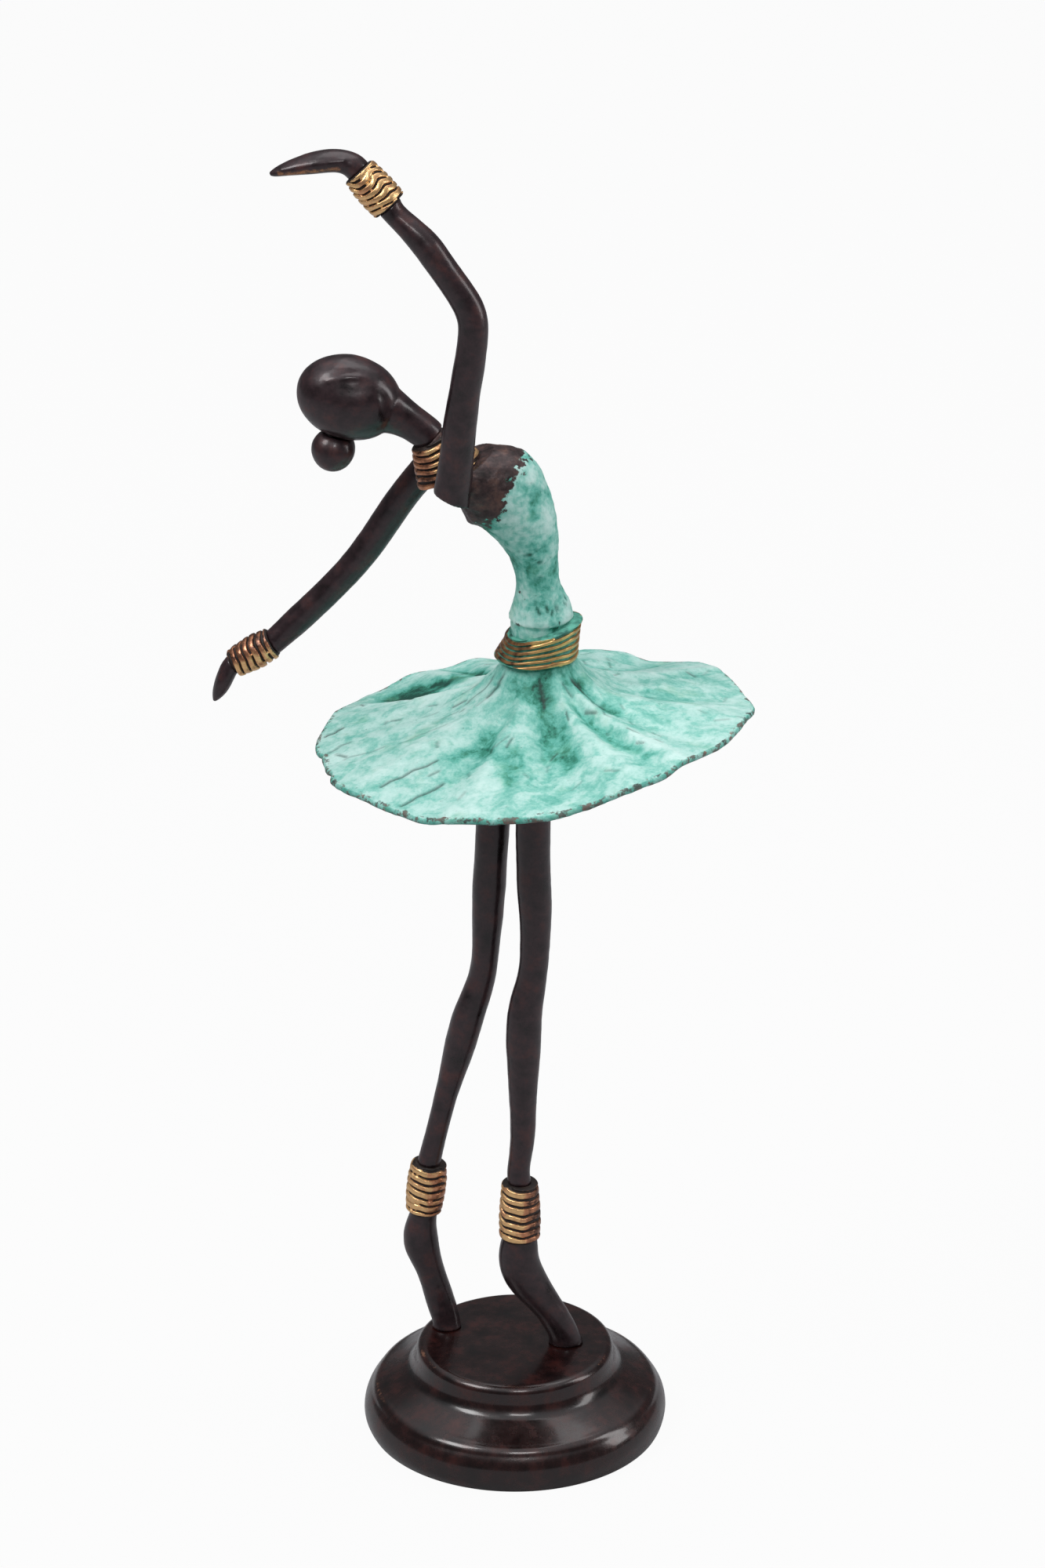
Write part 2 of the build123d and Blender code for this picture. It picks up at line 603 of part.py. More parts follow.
torso.part.label = "torso"
export_step(torso.part, "parts/torso.step")

with BuildPart() as shoulder_dowels:
    for side in (1, -1):
        with BuildSketch(
            Plane(
                origin=(SHOULDER_PIN[0], side * SHOULDER_SEAT_Y, SHOULDER_PIN[1]),
                x_dir=(1, 0, 0),
                z_dir=(0, side, 0),
            )
        ):
            Circle(SHOULDER_DOWEL_RADIUS)
        extrude(amount=SHOULDER_DOWEL_HALF_LENGTH, both=True)
shoulder_dowels.part.label = "shoulder_dowels"
export_step(shoulder_dowels.part, "parts/shoulder_dowels.step")

# ---------------------------------------------------------------- arms
for name, stations, wrist_axis, wrist, side, inner in (
    ("left_arm", LEFT_ARM, left_wrist_axis, LEFT_WRIST, 1, Keep.BOTTOM),
    ("right_arm", RIGHT_ARM, right_wrist_axis, RIGHT_WRIST, -1, Keep.TOP),
):
    with BuildPart() as arm:
        for plane, half_width, half_depth in limb_sections(stations, None, wrist_axis):
            with BuildSketch(plane):
                Ellipse(half_width, half_depth)
        loft()
        with BuildSketch(
            Plane(origin=wrist[0], x_dir=side_of(wrist_axis), z_dir=wrist_axis)
        ):
            Circle(WRIST_SPIGOT)
        extrude(amount=(wrist[1] - wrist[0]).length / 2 - SPIGOT_END_GAP)
        split(bisect_by=Plane.XZ.offset(-side * SHOULDER_SEAT_Y), keep=inner)
        if name == "right_arm":
            split(bisect_by=Plane(origin=RIGHT_ARM_END, z_dir=RIGHT_ARM_SLOPE), keep=Keep.TOP)
        add(torso.part, mode=Mode.SUBTRACT)  # the arm is coped to the chest
        with BuildSketch(
            Plane(
                origin=(SHOULDER_PIN[0], side * SHOULDER_SEAT_Y, SHOULDER_PIN[1]),
                x_dir=(1, 0, 0),
                z_dir=(0, side, 0),
            )
        ):
            Circle(SHOULDER_DOWEL_RADIUS + BRAZE_GAP)
        extrude(amount=SHOULDER_DOWEL_HALF_LENGTH + SPIGOT_END_GAP, mode=Mode.SUBTRACT)
    arm.part.label = name
    export_step(arm.part, f"parts/{name}.step")

# ---------------------------------------------------------------- hands
for name, stations, wrist_axis, wrist in (
    ("left_hand", LEFT_HAND, left_wrist_axis, LEFT_WRIST),
    ("right_hand", RIGHT_HAND, right_wrist_axis, RIGHT_WRIST),
):
    with BuildPart() as hand:
        for plane, half_width, half_depth in limb_sections(stations, wrist_axis):
            with BuildSketch(plane):
                Ellipse(half_width, half_depth)
        loft()
        with BuildSketch(
            Plane(origin=wrist[1], x_dir=side_of(wrist_axis), z_dir=-wrist_axis)
        ):
            Circle(WRIST_SPIGOT)
        extrude(amount=(wrist[1] - wrist[0]).length / 2 - SPIGOT_END_GAP)
    hand.part.label = name
    export_step(hand.part, f"parts/{name}.step")

# ---------------------------------------------------------------- neck rings and neck dowel
RING_STRANDS = 6
ring_middle_radius = (RING_BASE_RADIUS + RING_TOP_RADIUS) / 2
ring_outline = strand_points(
    ring_length, (RING_BASE_RADIUS, ring_middle_radius, RING_TOP_RADIUS), RING_STRANDS
)
with BuildPart() as neck_rings:
    with BuildSketch(ring_plane):
        with BuildLine():
            for index in range(RING_STRANDS):
                ThreePointArc(*ring_outline[2 * index : 2 * index + 3])
            Polyline(
                ring_outline[-1],
                (RING_TOP_RADIUS - RING_WALL, ring_length),
                (RING_BASE_RADIUS - RING_WALL, 0),
                ring_outline[0],
            )
        make_face()
    revolve(axis=Axis(RING_BASE, ring_axis))
    # flats where the arms press against the rings
    split(bisect_by=Plane.XZ.offset(SHOULDER_SEAT_Y - BRAZE_GAP), keep=Keep.BOTTOM)
    split(bisect_by=Plane.XZ.offset(BRAZE_GAP - SHOULDER_SEAT_Y), keep=Keep.TOP)
    # one cross hole lets both shoulder dowels through
    with BuildSketch(Plane.XZ):
        with Locations(SHOULDER_PIN):
            Circle(SHOULDER_DOWEL_RADIUS + BRAZE_GAP)
    extrude(amount=2 * SHOULDER_SEAT_Y, both=True, mode=Mode.SUBTRACT)
neck_rings.part.label = "neck_rings"
export_step(neck_rings.part, "parts/neck_rings.step")

with BuildPart() as neck_dowel:
    with BuildSketch(neck_plane):
        Circle(NECK_DOWEL_RADIUS)
    extrude(amount=NECK_DOWEL_HALF_LENGTH, both=True)
neck_dowel.part.label = "neck_dowel"
export_step(neck_dowel.part, "parts/neck_dowel.step")

# ---------------------------------------------------------------- head and bun
crown = Vector(-cos(radians(HEAD_TILT)), 0, sin(radians(HEAD_TILT)))

with BuildPart() as skull:
    with BuildSketch(axis_plane(Vector(0, 0, 0), crown)):
        Ellipse(HEAD_SHORT, HEAD_LONG)
        with Locations((-HEAD_SHORT, 0)):
            Rectangle(2 * HEAD_SHORT, 3 * HEAD_LONG, mode=Mode.SUBTRACT)
    revolve(axis=Axis((0, 0, 0), crown))
    scale(by=(1, HEAD_WIDTH_SHARE, 1))

with BuildPart() as head:
    for plane, half_width, half_depth in limb_sections(NECK, NECK_DIRECTION):
        with BuildSketch(plane):
            Ellipse(half_width, half_depth)
    loft()
    add(skull.part.moved(Location(HEAD_CENTRE)))
    with BuildSketch(neck_plane):
        Circle(NECK_DOWEL_RADIUS + BRAZE_GAP)
    extrude(amount=NECK_DOWEL_HALF_LENGTH + SPIGOT_END_GAP, mode=Mode.SUBTRACT)
    with BuildSketch(Plane(origin=BUN_CENTRE, x_dir=(0, 1, 0), z_dir=bun_direction)):
        Circle(BUN_PIN_RADIUS + BRAZE_GAP)
    extrude(amount=BUN_PIN_LENGTH + SPIGOT_END_GAP, mode=Mode.SUBTRACT)
head.part.label = "head"
export_step(head.part, "parts/head.step")

with BuildPart() as hair_bun:
    with Locations(BUN_CENTRE):
        Sphere(BUN_RADIUS)
    add(skull.part.moved(Location(HEAD_CENTRE)), mode=Mode.SUBTRACT)
    with BuildSketch(Plane(origin=BUN_CENTRE, x_dir=(0, 1, 0), z_dir=bun_direction)):
        Circle(BUN_PIN_RADIUS)
    extrude(amount=BUN_PIN_LENGTH)
hair_bun.part.label = "hair_bun"
export_step(hair_bun.part, "parts/hair_bun.step")
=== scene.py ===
"""Cast bronze dancer: the visual model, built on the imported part."""

from math import cos, pi, radians, sin

import bpy
import numpy as np
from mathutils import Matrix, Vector
from mathutils.bvhtree import BVHTree


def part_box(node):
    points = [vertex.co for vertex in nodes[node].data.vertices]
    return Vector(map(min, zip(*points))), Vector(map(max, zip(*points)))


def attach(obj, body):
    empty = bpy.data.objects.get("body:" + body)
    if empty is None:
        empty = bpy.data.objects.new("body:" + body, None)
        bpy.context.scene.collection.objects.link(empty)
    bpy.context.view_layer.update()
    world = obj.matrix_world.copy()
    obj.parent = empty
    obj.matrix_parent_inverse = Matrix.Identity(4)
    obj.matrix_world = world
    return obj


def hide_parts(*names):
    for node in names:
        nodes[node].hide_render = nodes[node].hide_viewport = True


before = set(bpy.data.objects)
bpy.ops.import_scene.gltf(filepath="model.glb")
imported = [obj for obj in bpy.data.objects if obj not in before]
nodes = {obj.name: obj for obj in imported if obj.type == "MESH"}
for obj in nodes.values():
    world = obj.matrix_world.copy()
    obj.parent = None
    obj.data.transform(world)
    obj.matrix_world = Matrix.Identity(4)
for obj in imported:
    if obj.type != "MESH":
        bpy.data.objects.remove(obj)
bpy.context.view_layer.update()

MM = 0.001
BELT_X = 8.8  # the belt and skirt share this vertical axis
BASE_HEIGHT = 31.8


# ---------------------------------------------------------------- numbers and noise
def srgb(red, green, blue):
    """A display colour as the linear colour that shaders take."""
    channels = [c / 12.92 if c <= 0.04045 else ((c + 0.055) / 1.055) ** 2.4 for c in (red, green, blue)]
    return (*channels, 1.0)


def ease(value):
    """0 below 0, 1 above 1, and a smooth step between."""
    value = np.clip(value, 0, 1)
    return value * value * (3 - 2 * value)


def lattice(i, j, k, seed):
    """A repeatable random number from 0 to 1 for each whole-number point."""
    h = (i * 374761393 + j * 668265263 + k * 1103515245 + seed * 144269504) & 0xFFFFFFFF
    h = ((h ^ (h >> 13)) * 1274126177) & 0xFFFFFFFF
    return ((h ^ (h >> 16)) & 0xFFFFFF) / 0xFFFFFF


def lumps(points, size, seed=0, octaves=3):
    """Smooth noise from about -1 to 1; size is the width of the largest lumps."""
    total = np.zeros(len(points))
    span = 0.0
    for octave in range(octaves):
        p = points * (2**octave / size) + 31.7 * (octave + 1)
        base = np.floor(p).astype(np.int64)
        f = p - base
        f = f * f * (3 - 2 * f)
        value = np.zeros(len(points))
        for corner in range(8):
            step = np.array([corner & 1, corner >> 1 & 1, corner >> 2 & 1])
            weight = np.prod(np.where(step == 1, f, 1 - f), axis=1)
            value += weight * lattice(*(base + step).T, seed + octave)
        total += (2 * value - 1) / 2**octave
        span += 0.5**octave
    return total / span * 1.6


def near_line(points, line, half_width):
    """1 on a line through the given corners, falling to 0 over its half width."""
    line = np.array(line, float)
    best = np.full(len(points), 1e9)
    for start, end in zip(line[:-1], line[1:]):
        along = end - start
        t = np.clip((points - start) @ along / max(along @ along, 1e-9), 0, 1)
        gap = points - start - t[:, None] * along
        best = np.minimum(best, (gap * gap).sum(1))
    return np.exp(-best / half_width**2)


# ---------------------------------------------------------------- meshes
def cad_arrays(name):
    """Corners in millimetres and triangles of a CAD node."""
    mesh = nodes[name].data
    mesh.calc_loop_triangles()
    corners = np.zeros(len(mesh.vertices) * 3)
    mesh.vertices.foreach_get("co", corners)
    triangles = np.zeros(len(mesh.loop_triangles) * 3, np.int64)
    mesh.loop_triangles.foreach_get("vertices", triangles)
    return corners.reshape(-1, 3) / MM, triangles.reshape(-1, 3)


def cad_tree(name):
    """A ray-casting tree of a CAD node, in millimetres."""
    corners, triangles = cad_arrays(name)
    return BVHTree.FromPolygons(corners.tolist(), triangles.tolist())


def normals_of(points, quads):
    """Smooth unit normals of a quad or triangle mesh."""
    faces = np.asarray(quads)
    one_way = points[faces[:, 2]] - points[faces[:, 0]]
    other_way = points[faces[:, -1]] - points[faces[:, 1]]
    face_normal = np.cross(one_way, other_way)
    total = np.zeros_like(points)
    for corner in faces.T:
        for axis in range(3):
            total[:, axis] += np.bincount(corner, face_normal[:, axis], len(points))
    return total / np.maximum(np.linalg.norm(total, axis=1, keepdims=True), 1e-12)


def spread(values, edges, rounds):
    """Averages values between neighbouring corners, several times."""
    values = values.copy()
    flat = values.ndim == 1
    table = values[:, None] if flat else values
    count = np.bincount(edges.ravel(), minlength=len(table)).clip(1)
    for _ in range(rounds):
        total = np.zeros_like(table)
        for column in range(table.shape[1]):
            total[:, column] = np.bincount(edges[:, 0], table[edges[:, 1], column], len(table))
            total[:, column] += np.bincount(edges[:, 1], table[edges[:, 0], column], len(table))
        table = 0.5 * table + 0.5 * total / count[:, None]
    return table[:, 0] if flat else table


def build(name, points, faces, material, slot, stands_for, **attributes):
    """Makes a smooth piece from millimetre points, with its per-corner attributes."""
    mesh = bpy.data.meshes.new(name)
    mesh.from_pydata((points * MM).tolist(), [], faces.tolist() if hasattr(faces, "tolist") else faces)
    mesh.validate()
    mesh.shade_smooth()
    for key, values in attributes.items():
        layer = mesh.attributes.new(key, "FLOAT", "POINT")
        layer.data.foreach_set("value", np.clip(values, 0, 1).astype(np.float32))
    mesh.materials.append(material)
    piece = bpy.data.objects.new(name, mesh)
    bpy.context.scene.collection.objects.link(piece)
    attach(piece, "root")
    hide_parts(*stands_for)
    return piece


def dense(name, voxel):
    """Even quads over a CAD node: points, faces, edges and normals, in millimetres."""
    corners, triangles = cad_arrays(name)
    mesh = bpy.data.meshes.new("work")
    mesh.from_pydata(corners.tolist(), [], triangles.tolist())
    work = bpy.data.objects.new("work", mesh)
    bpy.context.scene.collection.objects.link(work)
    remesh = work.modifiers.new("remesh", "REMESH")
    remesh.mode = "VOXEL"
    remesh.voxel_size = voxel * 1.0
    graph = bpy.context.evaluated_depsgraph_get()
    made = work.evaluated_get(graph).to_mesh()
    points = np.zeros(len(made.vertices) * 3)
    made.vertices.foreach_get("co", points)
    points = points.reshape(-1, 3)
    faces = np.zeros(len(made.loops), np.int64)
    made.loops.foreach_get("vertex_index", faces)
    faces = faces.reshape(-1, 4)
    edges = np.zeros(len(made.edges) * 2, np.int64)
    made.edges.foreach_get("vertices", edges)
    edges = edges.reshape(-1, 2)
    bpy.data.objects.remove(work)
    tree = BVHTree.FromPolygons(corners.tolist(), triangles.tolist())
    points = spread(points, edges, 2)
    points = np.array([tree.find_nearest(Vector(p))[0] for p in points])
    points = spread(points, edges, 4)
    return points, faces, edges, normals_of(points, faces)


def hollows(points, normals, edges, rounds=6):
    """How far each corner lies below its surroundings, in millimetres."""
    return ((spread(points, edges, rounds) - points) * normals).sum(1)


def rings_to_faces(rings, around):
    """Quads between rings of points, each ring running around."""
    ring, step = np.meshgrid(np.arange(rings - 1), np.arange(around), indexing="ij")
    after = (step + 1) % around
    here, beyond = ring * around, (ring + 1) * around
    quads = [here + step, here + after, beyond + after, beyond + step]
    return np.stack(quads, -1).reshape(-1, 4)


# ---------------------------------------------------------------- material building
def material(name):
    made = bpy.data.materials.new(name)
    made.use_nodes = True
    tree = made.node_tree
    tree.nodes.clear()
    output = tree.nodes.new("ShaderNodeOutputMaterial")
    shader = tree.nodes.new("ShaderNodeBsdfPrincipled")
    tree.links.new(shader.outputs[0], output.inputs[0])
    return made, tree, shader


def node(tree, kind, inputs=(), **settings):
    """Adds a node; an input is a number, a colour or another node's output."""
    made = tree.nodes.new("ShaderNode" + kind)
    for key, value in settings.items():
        setattr(made, key, value)
    for key, value in dict(inputs).items():
        if isinstance(value, bpy.types.NodeSocket):
            tree.links.new(value, made.inputs[key])
        else:
            made.inputs[key].default_value = value
    return made


def math_node(tree, operation, first, second=0.0, clamp=False):
    made = node(tree, "Math", operation=operation, use_clamp=clamp)
    for index, value in enumerate((first, second)):
        if isinstance(value, bpy.types.NodeSocket):
            tree.links.new(value, made.inputs[index])
        else:
            made.inputs[index].default_value = value
    return made.outputs[0]


def attribute(tree, name):
    return node(tree, "Attribute", attribute_name=name).outputs["Fac"]


def grain(tree, size, detail=4.0, roughness=0.55, distortion=0.0, stretch=(1, 1, 1)):
    """Noise in the object's own space; size is the width of its lumps in millimetres."""
    place = node(tree, "TexCoord").outputs["Object"]
    if stretch != (1, 1, 1):
        place = node(tree, "Mapping", {"Vector": place, "Scale": stretch}).outputs[0]
    inputs = {
        "Vector": place,
        "Scale": 1 / (size * MM),
        "Detail": detail,
        "Roughness": roughness,
        "Distortion": distortion,
    }
    return node(tree, "TexNoise", inputs).outputs["Fac"]


def remap(tree, value, low, high, to_low=0.0, to_high=1.0):
    inputs = {"Value": value, "From Min": low, "From Max": high, "To Min": to_low, "To Max": to_high}
    return node(tree, "MapRange", inputs, interpolation_type="SMOOTHSTEP").outputs[0]


def ramp(tree, value, stops):
    """Colours along a value, each stop a position and a display colour."""
    made = node(tree, "ValToRGB", {"Fac": value})
    elements = made.color_ramp.elements
    while len(elements) < len(stops):
        elements.new(0.5)
    for element, (position, colour) in zip(elements, stops):
        element.position = position
        element.color = srgb(*colour)
    return made.outputs["Color"]


def blend_colour(tree, share, first, second, mode="MIX"):
    made = node(tree, "Mix", data_type="RGBA", blend_type=mode)
    for key, value in ((0, share), (6, first), (7, second)):
        if isinstance(value, bpy.types.NodeSocket):
            tree.links.new(value, made.inputs[key])
        else:
            made.inputs[key].default_value = value
    return made.outputs[2]


def bump(tree, height, distance, before=None):
    inputs = {"Height": height, "Distance": distance * MM, "Strength": 1.0}
    if before is not None:
        inputs["Normal"] = before
    return node(tree, "Bump", inputs).outputs[0]


def link(tree, shader, **sockets):
    for key, value in sockets.items():
        name = key.replace("_", " ")
        if isinstance(value, bpy.types.NodeSocket):
            tree.links.new(value, shader.inputs[name])
        else:
            shader.inputs[name].default_value = value


def dark_bronze(name, dark, light, red, roughness, coat, wear_colour):
    """Chemically darkened bronze under wax, rubbed through to metal in places, with painted highlights in the
    rubbed mask and painted shade darkening hollows.
    """
    made, tree, shader = material(name)
    clouds = grain(tree, 7, 5, 0.62)
    specks = grain(tree, 1.6, 4, 0.65)
    body = ramp(tree, clouds, [(0.3, dark), (0.52, light), (0.72, red)])
    body = blend_colour(tree, remap(tree, specks, 0.5, 0.75, 0.0, 0.45), body, srgb(*dark))
    wear = attribute(tree, "wear")
    uneven = math_node(tree, "MULTIPLY", remap(tree, specks, 0.35, 0.7, -0.35, 0.35), wear)
    worn_and_highlit = math_node(tree, "ADD", wear, uneven)
    worn_and_highlit = remap(tree, worn_and_highlit, 0.25, 0.95)
    flecks = remap(tree, grain(tree, 0.9, 3, 0.7), 0.74, 0.82, 0.0, 0.35)
    worn_and_highlit = math_node(tree, "MAXIMUM", worn_and_highlit, flecks)
    body = blend_colour(tree, worn_and_highlit, body, srgb(*wear_colour))
    # Painted shade: hollows, the base's cove and its underside are blended to near black.
    soot = math_node(tree, "MULTIPLY", attribute(tree, "soot"), 0.85)
    body = blend_colour(tree, soot, body, srgb(0.035, 0.03, 0.035))
    surface = bump(tree, grain(tree, 3.2, 5, 0.6), 0.05)
    surface = bump(tree, grain(tree, 0.7, 3, 0.6), 0.012, surface)
    rough = remap(tree, clouds, 0.3, 0.7, roughness - 0.06, roughness + 0.08)
    metallic = remap(tree, worn_and_highlit, 0, 1, 0.25, 0.95)
    link(tree, shader, Base_Color=body, Metallic=metallic, Roughness=rough, Normal=surface)
    link(tree, shader, Coat_Weight=coat, Coat_Roughness=0.12)
    return made


def polished(name, groove_colour, gold, copper):
    """Wound strands rubbed bright on their faces, dark or green in the grooves."""
    made, tree, shader = material(name)
    groove = attribute(tree, "groove")
    cloudy = remap(tree, grain(tree, 4, 4, 0.6), 0.3, 0.75, -0.35, 0.45)
    tarnish = math_node(tree, "ADD", attribute(tree, "tarnish"), cloudy)
    fine = grain(tree, 0.8, 4, 0.65, stretch=(0.5, 0.5, 1.6))
    metal = ramp(tree, tarnish, [(0.0, gold), (0.45, copper), (0.95, (0.33, 0.24, 0.21))])
    metal = blend_colour(tree, remap(tree, fine, 0.4, 0.75, 0.0, 0.5), metal, srgb(*copper))
    depth = math_node(tree, "ADD", groove, remap(tree, fine, 0.35, 0.7, -0.16, 0.2))
    dark = remap(tree, depth, 0.42, 0.7)
    patina = ramp(tree, grain(tree, 3, 3), [(0.35, groove_colour[0]), (0.62, groove_colour[1])])
    body = blend_colour(tree, dark, metal, patina)
    surface = bump(tree, grain(tree, 1.4, 4, 0.6), 0.06)
    link(tree, shader, Base_Color=body, Metallic=remap(tree, dark, 0, 1, 0.85, 0.05), Normal=surface)
    link(tree, shader, Roughness=remap(tree, depth, 0.1, 0.8, 0.3, 0.62))
    return made


def verdigris(name):
    """Green-blue patina, pale on the ridges and deep in the hollows, over brown bronze."""
    made, tree, shader = material(name)
    hollow = attribute(tree, "hollow")
    clouds = grain(tree, 6.5, 5, 0.55, 0.5)
    fine = grain(tree, 1.5, 5, 0.7, 0.3)
    shade = math_node(tree, "ADD", hollow, remap(tree, clouds, 0.3, 0.7, -0.17, 0.2))
    shade = math_node(tree, "ADD", shade, remap(tree, fine, 0.32, 0.70, -0.08, 0.11), clamp=True)
    green = ramp(
        tree,
        shade,
        [
            (0.0, (0.78, 0.90, 0.875)),
            (0.24, (0.68, 0.85, 0.815)),
            (0.44, (0.53, 0.78, 0.73)),
            (0.62, (0.38, 0.70, 0.64)),
            (0.82, (0.20, 0.53, 0.45)),
            (1.0, (0.06, 0.29, 0.24)),
        ],
    )
    olive = remap(tree, grain(tree, 12, 3), 0.55, 0.75, 0.0, 0.25)
    green = blend_colour(tree, olive, green, srgb(0.50, 0.72, 0.56))
    pits = remap(tree, grain(tree, 1.9, 4, 0.6, stretch=(1, 1.6, 1)), 0.66, 0.74, 0.0, 0.6)
    green = blend_colour(tree, pits, green, srgb(0.08, 0.33, 0.29))
    crack = attribute(tree, "crack")
    green = blend_colour(tree, crack, green, srgb(0.20, 0.24, 0.23))
    bare = math_node(tree, "ADD", attribute(tree, "bare"), remap(tree, fine, 0.3, 0.7, -0.22, 0.22))
    bare = remap(tree, bare, 0.42, 0.62)
    brown = ramp(
        tree,
        grain(tree, 4, 5, 0.65),
        [(0.32, (0.13, 0.10, 0.10)), (0.52, (0.27, 0.21, 0.21)), (0.7, (0.40, 0.30, 0.27))],
    )
    rim = attribute(tree, "rim")
    rim_colour = ramp(
        tree,
        grain(tree, 5, 4, 0.6),
        [
            (0.32, (0.22, 0.29, 0.28)),
            (0.48, (0.38, 0.42, 0.39)),
            (0.60, (0.44, 0.39, 0.36)),
            (0.70, (0.66, 0.43, 0.37)),
        ],
    )
    edge = math_node(tree, "ADD", rim, remap(tree, grain(tree, 3.2, 5, 0.7), 0.3, 0.7, -0.35, 0.35))
    body = blend_colour(tree, bare, green, brown)
    body = blend_colour(tree, remap(tree, edge, 0.42, 0.66), body, rim_colour)
    surface = bump(tree, grain(tree, 2.6, 6, 0.65), 0.22)
    surface = bump(tree, grain(tree, 0.6, 3, 0.6), 0.03, surface)
    link(tree, shader, Base_Color=body, Normal=surface, Specular_IOR_Level=0.4)
    link(tree, shader, Roughness=remap(tree, bare, 0, 1, 0.62, 0.38))
    link(tree, shader, Metallic=remap(tree, bare, 0, 1, 0.0, 0.3))
    return made


def bright_steel(name):
    """Plated steel fixings, with turning marks and a little grime."""
    made, tree, shader = material(name)
    grime = remap(tree, grain(tree, 2.2, 4, 0.6), 0.4, 0.72)
    body = blend_colour(tree, grime, srgb(0.62, 0.62, 0.60), srgb(0.36, 0.33, 0.29))
    surface = bump(tree, grain(tree, 0.5, 3, 0.6, stretch=(1, 1, 4)), 0.02)
    link(tree, shader, Base_Color=body, Metallic=0.95, Normal=surface)
    link(tree, shader, Roughness=remap(tree, grime, 0, 1, 0.3, 0.6))
    return made


def dowel_bronze(name):
    """Plain drawn bronze pins, dulled by heat."""
    made, tree, shader = material(name)
    scale = remap(tree, grain(tree, 3, 4, 0.6), 0.35, 0.7)
    body = blend_colour(tree, scale, srgb(0.62, 0.44, 0.28), srgb(0.30, 0.20, 0.15))
    surface = bump(tree, grain(tree, 0.8, 3, 0.6, stretch=(1, 1, 0.2)), 0.02)
    link(tree, shader, Base_Color=body, Metallic=0.9, Normal=surface)
    link(tree, shader, Roughness=remap(tree, scale, 0, 1, 0.35, 0.55))
    return made


GOLD = (0.97, 0.80, 0.57)
COPPER = (0.82, 0.57, 0.43)
LIMB_TONES = (0.09, 0.06, 0.07), (0.20, 0.14, 0.155), (0.30, 0.17, 0.165)
BASE_TONES = (0.06, 0.028, 0.03), (0.145, 0.06, 0.058), (0.25, 0.10, 0.085)
LIMB = dark_bronze("limb_bronze", *LIMB_TONES, 0.33, 0.25, (0.72, 0.5, 0.36))
# The base's rubbed colour also paints the highlights along its edges.
BASE = dark_bronze("base_bronze", *BASE_TONES, 0.25, 0.5, (0.86, 0.62, 0.5))
STRANDS = polished("strand_bronze", ((0.10, 0.07, 0.06), (0.17, 0.12, 0.10)), GOLD, COPPER)
BELT_GROOVES = (0.16, 0.42, 0.37), (0.38, 0.70, 0.62)
BELT = polished("belt_bronze", BELT_GROOVES, (0.90, 0.72, 0.47), (0.76, 0.55, 0.38))
GREEN = verdigris("verdigris")

for made, users in (
    (bright_steel("stud_steel"), ("left_foot_stud", "right_foot_stud")),
    (bright_steel("nut_steel"), ("stud_nuts", "stud_washers")),
    (dowel_bronze("dowel_bronze"), ("hip_dowels", "shoulder_dowels", "neck_dowel")),
):
    for user in users:
        nodes[user].data.materials.clear()
        nodes[user].data.materials.append(made)


# ---------------------------------------------------------------- dark castings
def limb(name, voxel, swell=0.16, marks=(), wears=(), seed=1, braze_at=None):
    """A dark casting: the CAD shape with hand-modelled unevenness, marks and rubbed spots."""
    points, faces, edges, normals = dense(name, voxel)
    rise = swell * lumps(points, 13, seed, 2) + 0.035 * lumps(points, 2.4, seed + 5, 2)
    points = points + normals * rise[:, None]
    mirror = points * [1, -1, 1]
    for line, half_width, height in marks:
        rise = np.maximum(near_line(points, line, half_width), near_line(mirror, line, half_width))
        points = points + normals * (height * rise)[:, None]
    braze = 0 * points[:, 2]
    if braze_at is not None:  # a lumpy fillet of brazing metal where the foot meets the base
        braze = np.exp(-np.maximum(points[:, 2] - braze_at, 0) / 1.3)
        braze = braze * (0.75 + 0.5 * lumps(points, 3.5, seed + 12, 2))
        outward = normals * [1, 1, 0]
        points = points + outward * (0.95 * braze)[:, None]
    normals = normals_of(points, faces)
    ridge = -hollows(points, normals, edges, 8)
    wear = 0.5 * ease((ridge - 0.12) / 0.25) * ease(lumps(points, 7, seed + 9) + 0.3)
    for line, half_width, amount in wears:
        wear = np.maximum(wear, amount * near_line(points, line, half_width))
    wear = np.maximum(wear, 0.55 * ease(braze * 1.6 - 0.5))
    # Painted shade: corners lying below their surroundings are darkened.
    soot = ease((-ridge - 0.02) / 0.16)
    return build(name + "_cast", points, faces, LIMB, "dark_bronze", [name], wear=wear, soot=soot)


HEAD_MARKS = (
    ([(-62.5, -8.5, 405.5), (-56, -9.2, 407.2), (-50, -9.2, 407.6), (-46.2, -8.4, 407.4)], 1.1, 0.5),
    ([(-60, -6, 409), (-52, -6.5, 410.3)], 1.6, 0.22),
    ([(-57, -12.6, 403.6), (-50, -13, 404)], 3.2, -0.5),
    ([(-43.6, -9.5, 400), (-42.6, -9.5, 395)], 2.4, -0.45),
    ([(-45.6, -11, 399.6), (-45.4, -11, 396)], 1.1, 0.2),
)
limb("head", 0.55, 0.2, HEAD_MARKS, [([(-47, -9, 407.6), (-46, -8.6, 407.5)], 0.9, 1.0)], 11)
limb("hair_bun", 0.4, 0.35, (), (), 13)
limb("left_arm", 0.55, 0.14, (), (), 21)
limb("right_arm", 0.55, 0.16, (), (), 23)
limb(
    "right_hand",
    0.35,
    0.06,
    [([(-56, -22, 487.4), (-66, -22.2, 486), (-76, -20, 483.6)], 0.9, 0.35)],
    [([(-58, -22.5, 484.6), (-68, -22.3, 483.6), (-77, -20.5, 482.3)], 1.3, 0.75)],
    29,
)
limb("left_hand", 0.35, 0.08, (), (), 31)
limb("left_leg", 0.65, 0.16, (), (), 37)
limb("right_leg", 0.65, 0.16, (), (), 41)
limb("left_foot", 0.55, 0.16, (), (), 43, BASE_HEIGHT)
limb("right_foot", 0.55, 0.16, (), (), 47, BASE_HEIGHT)
limb("hip_block", 0.8, 0.2, (), (), 53)


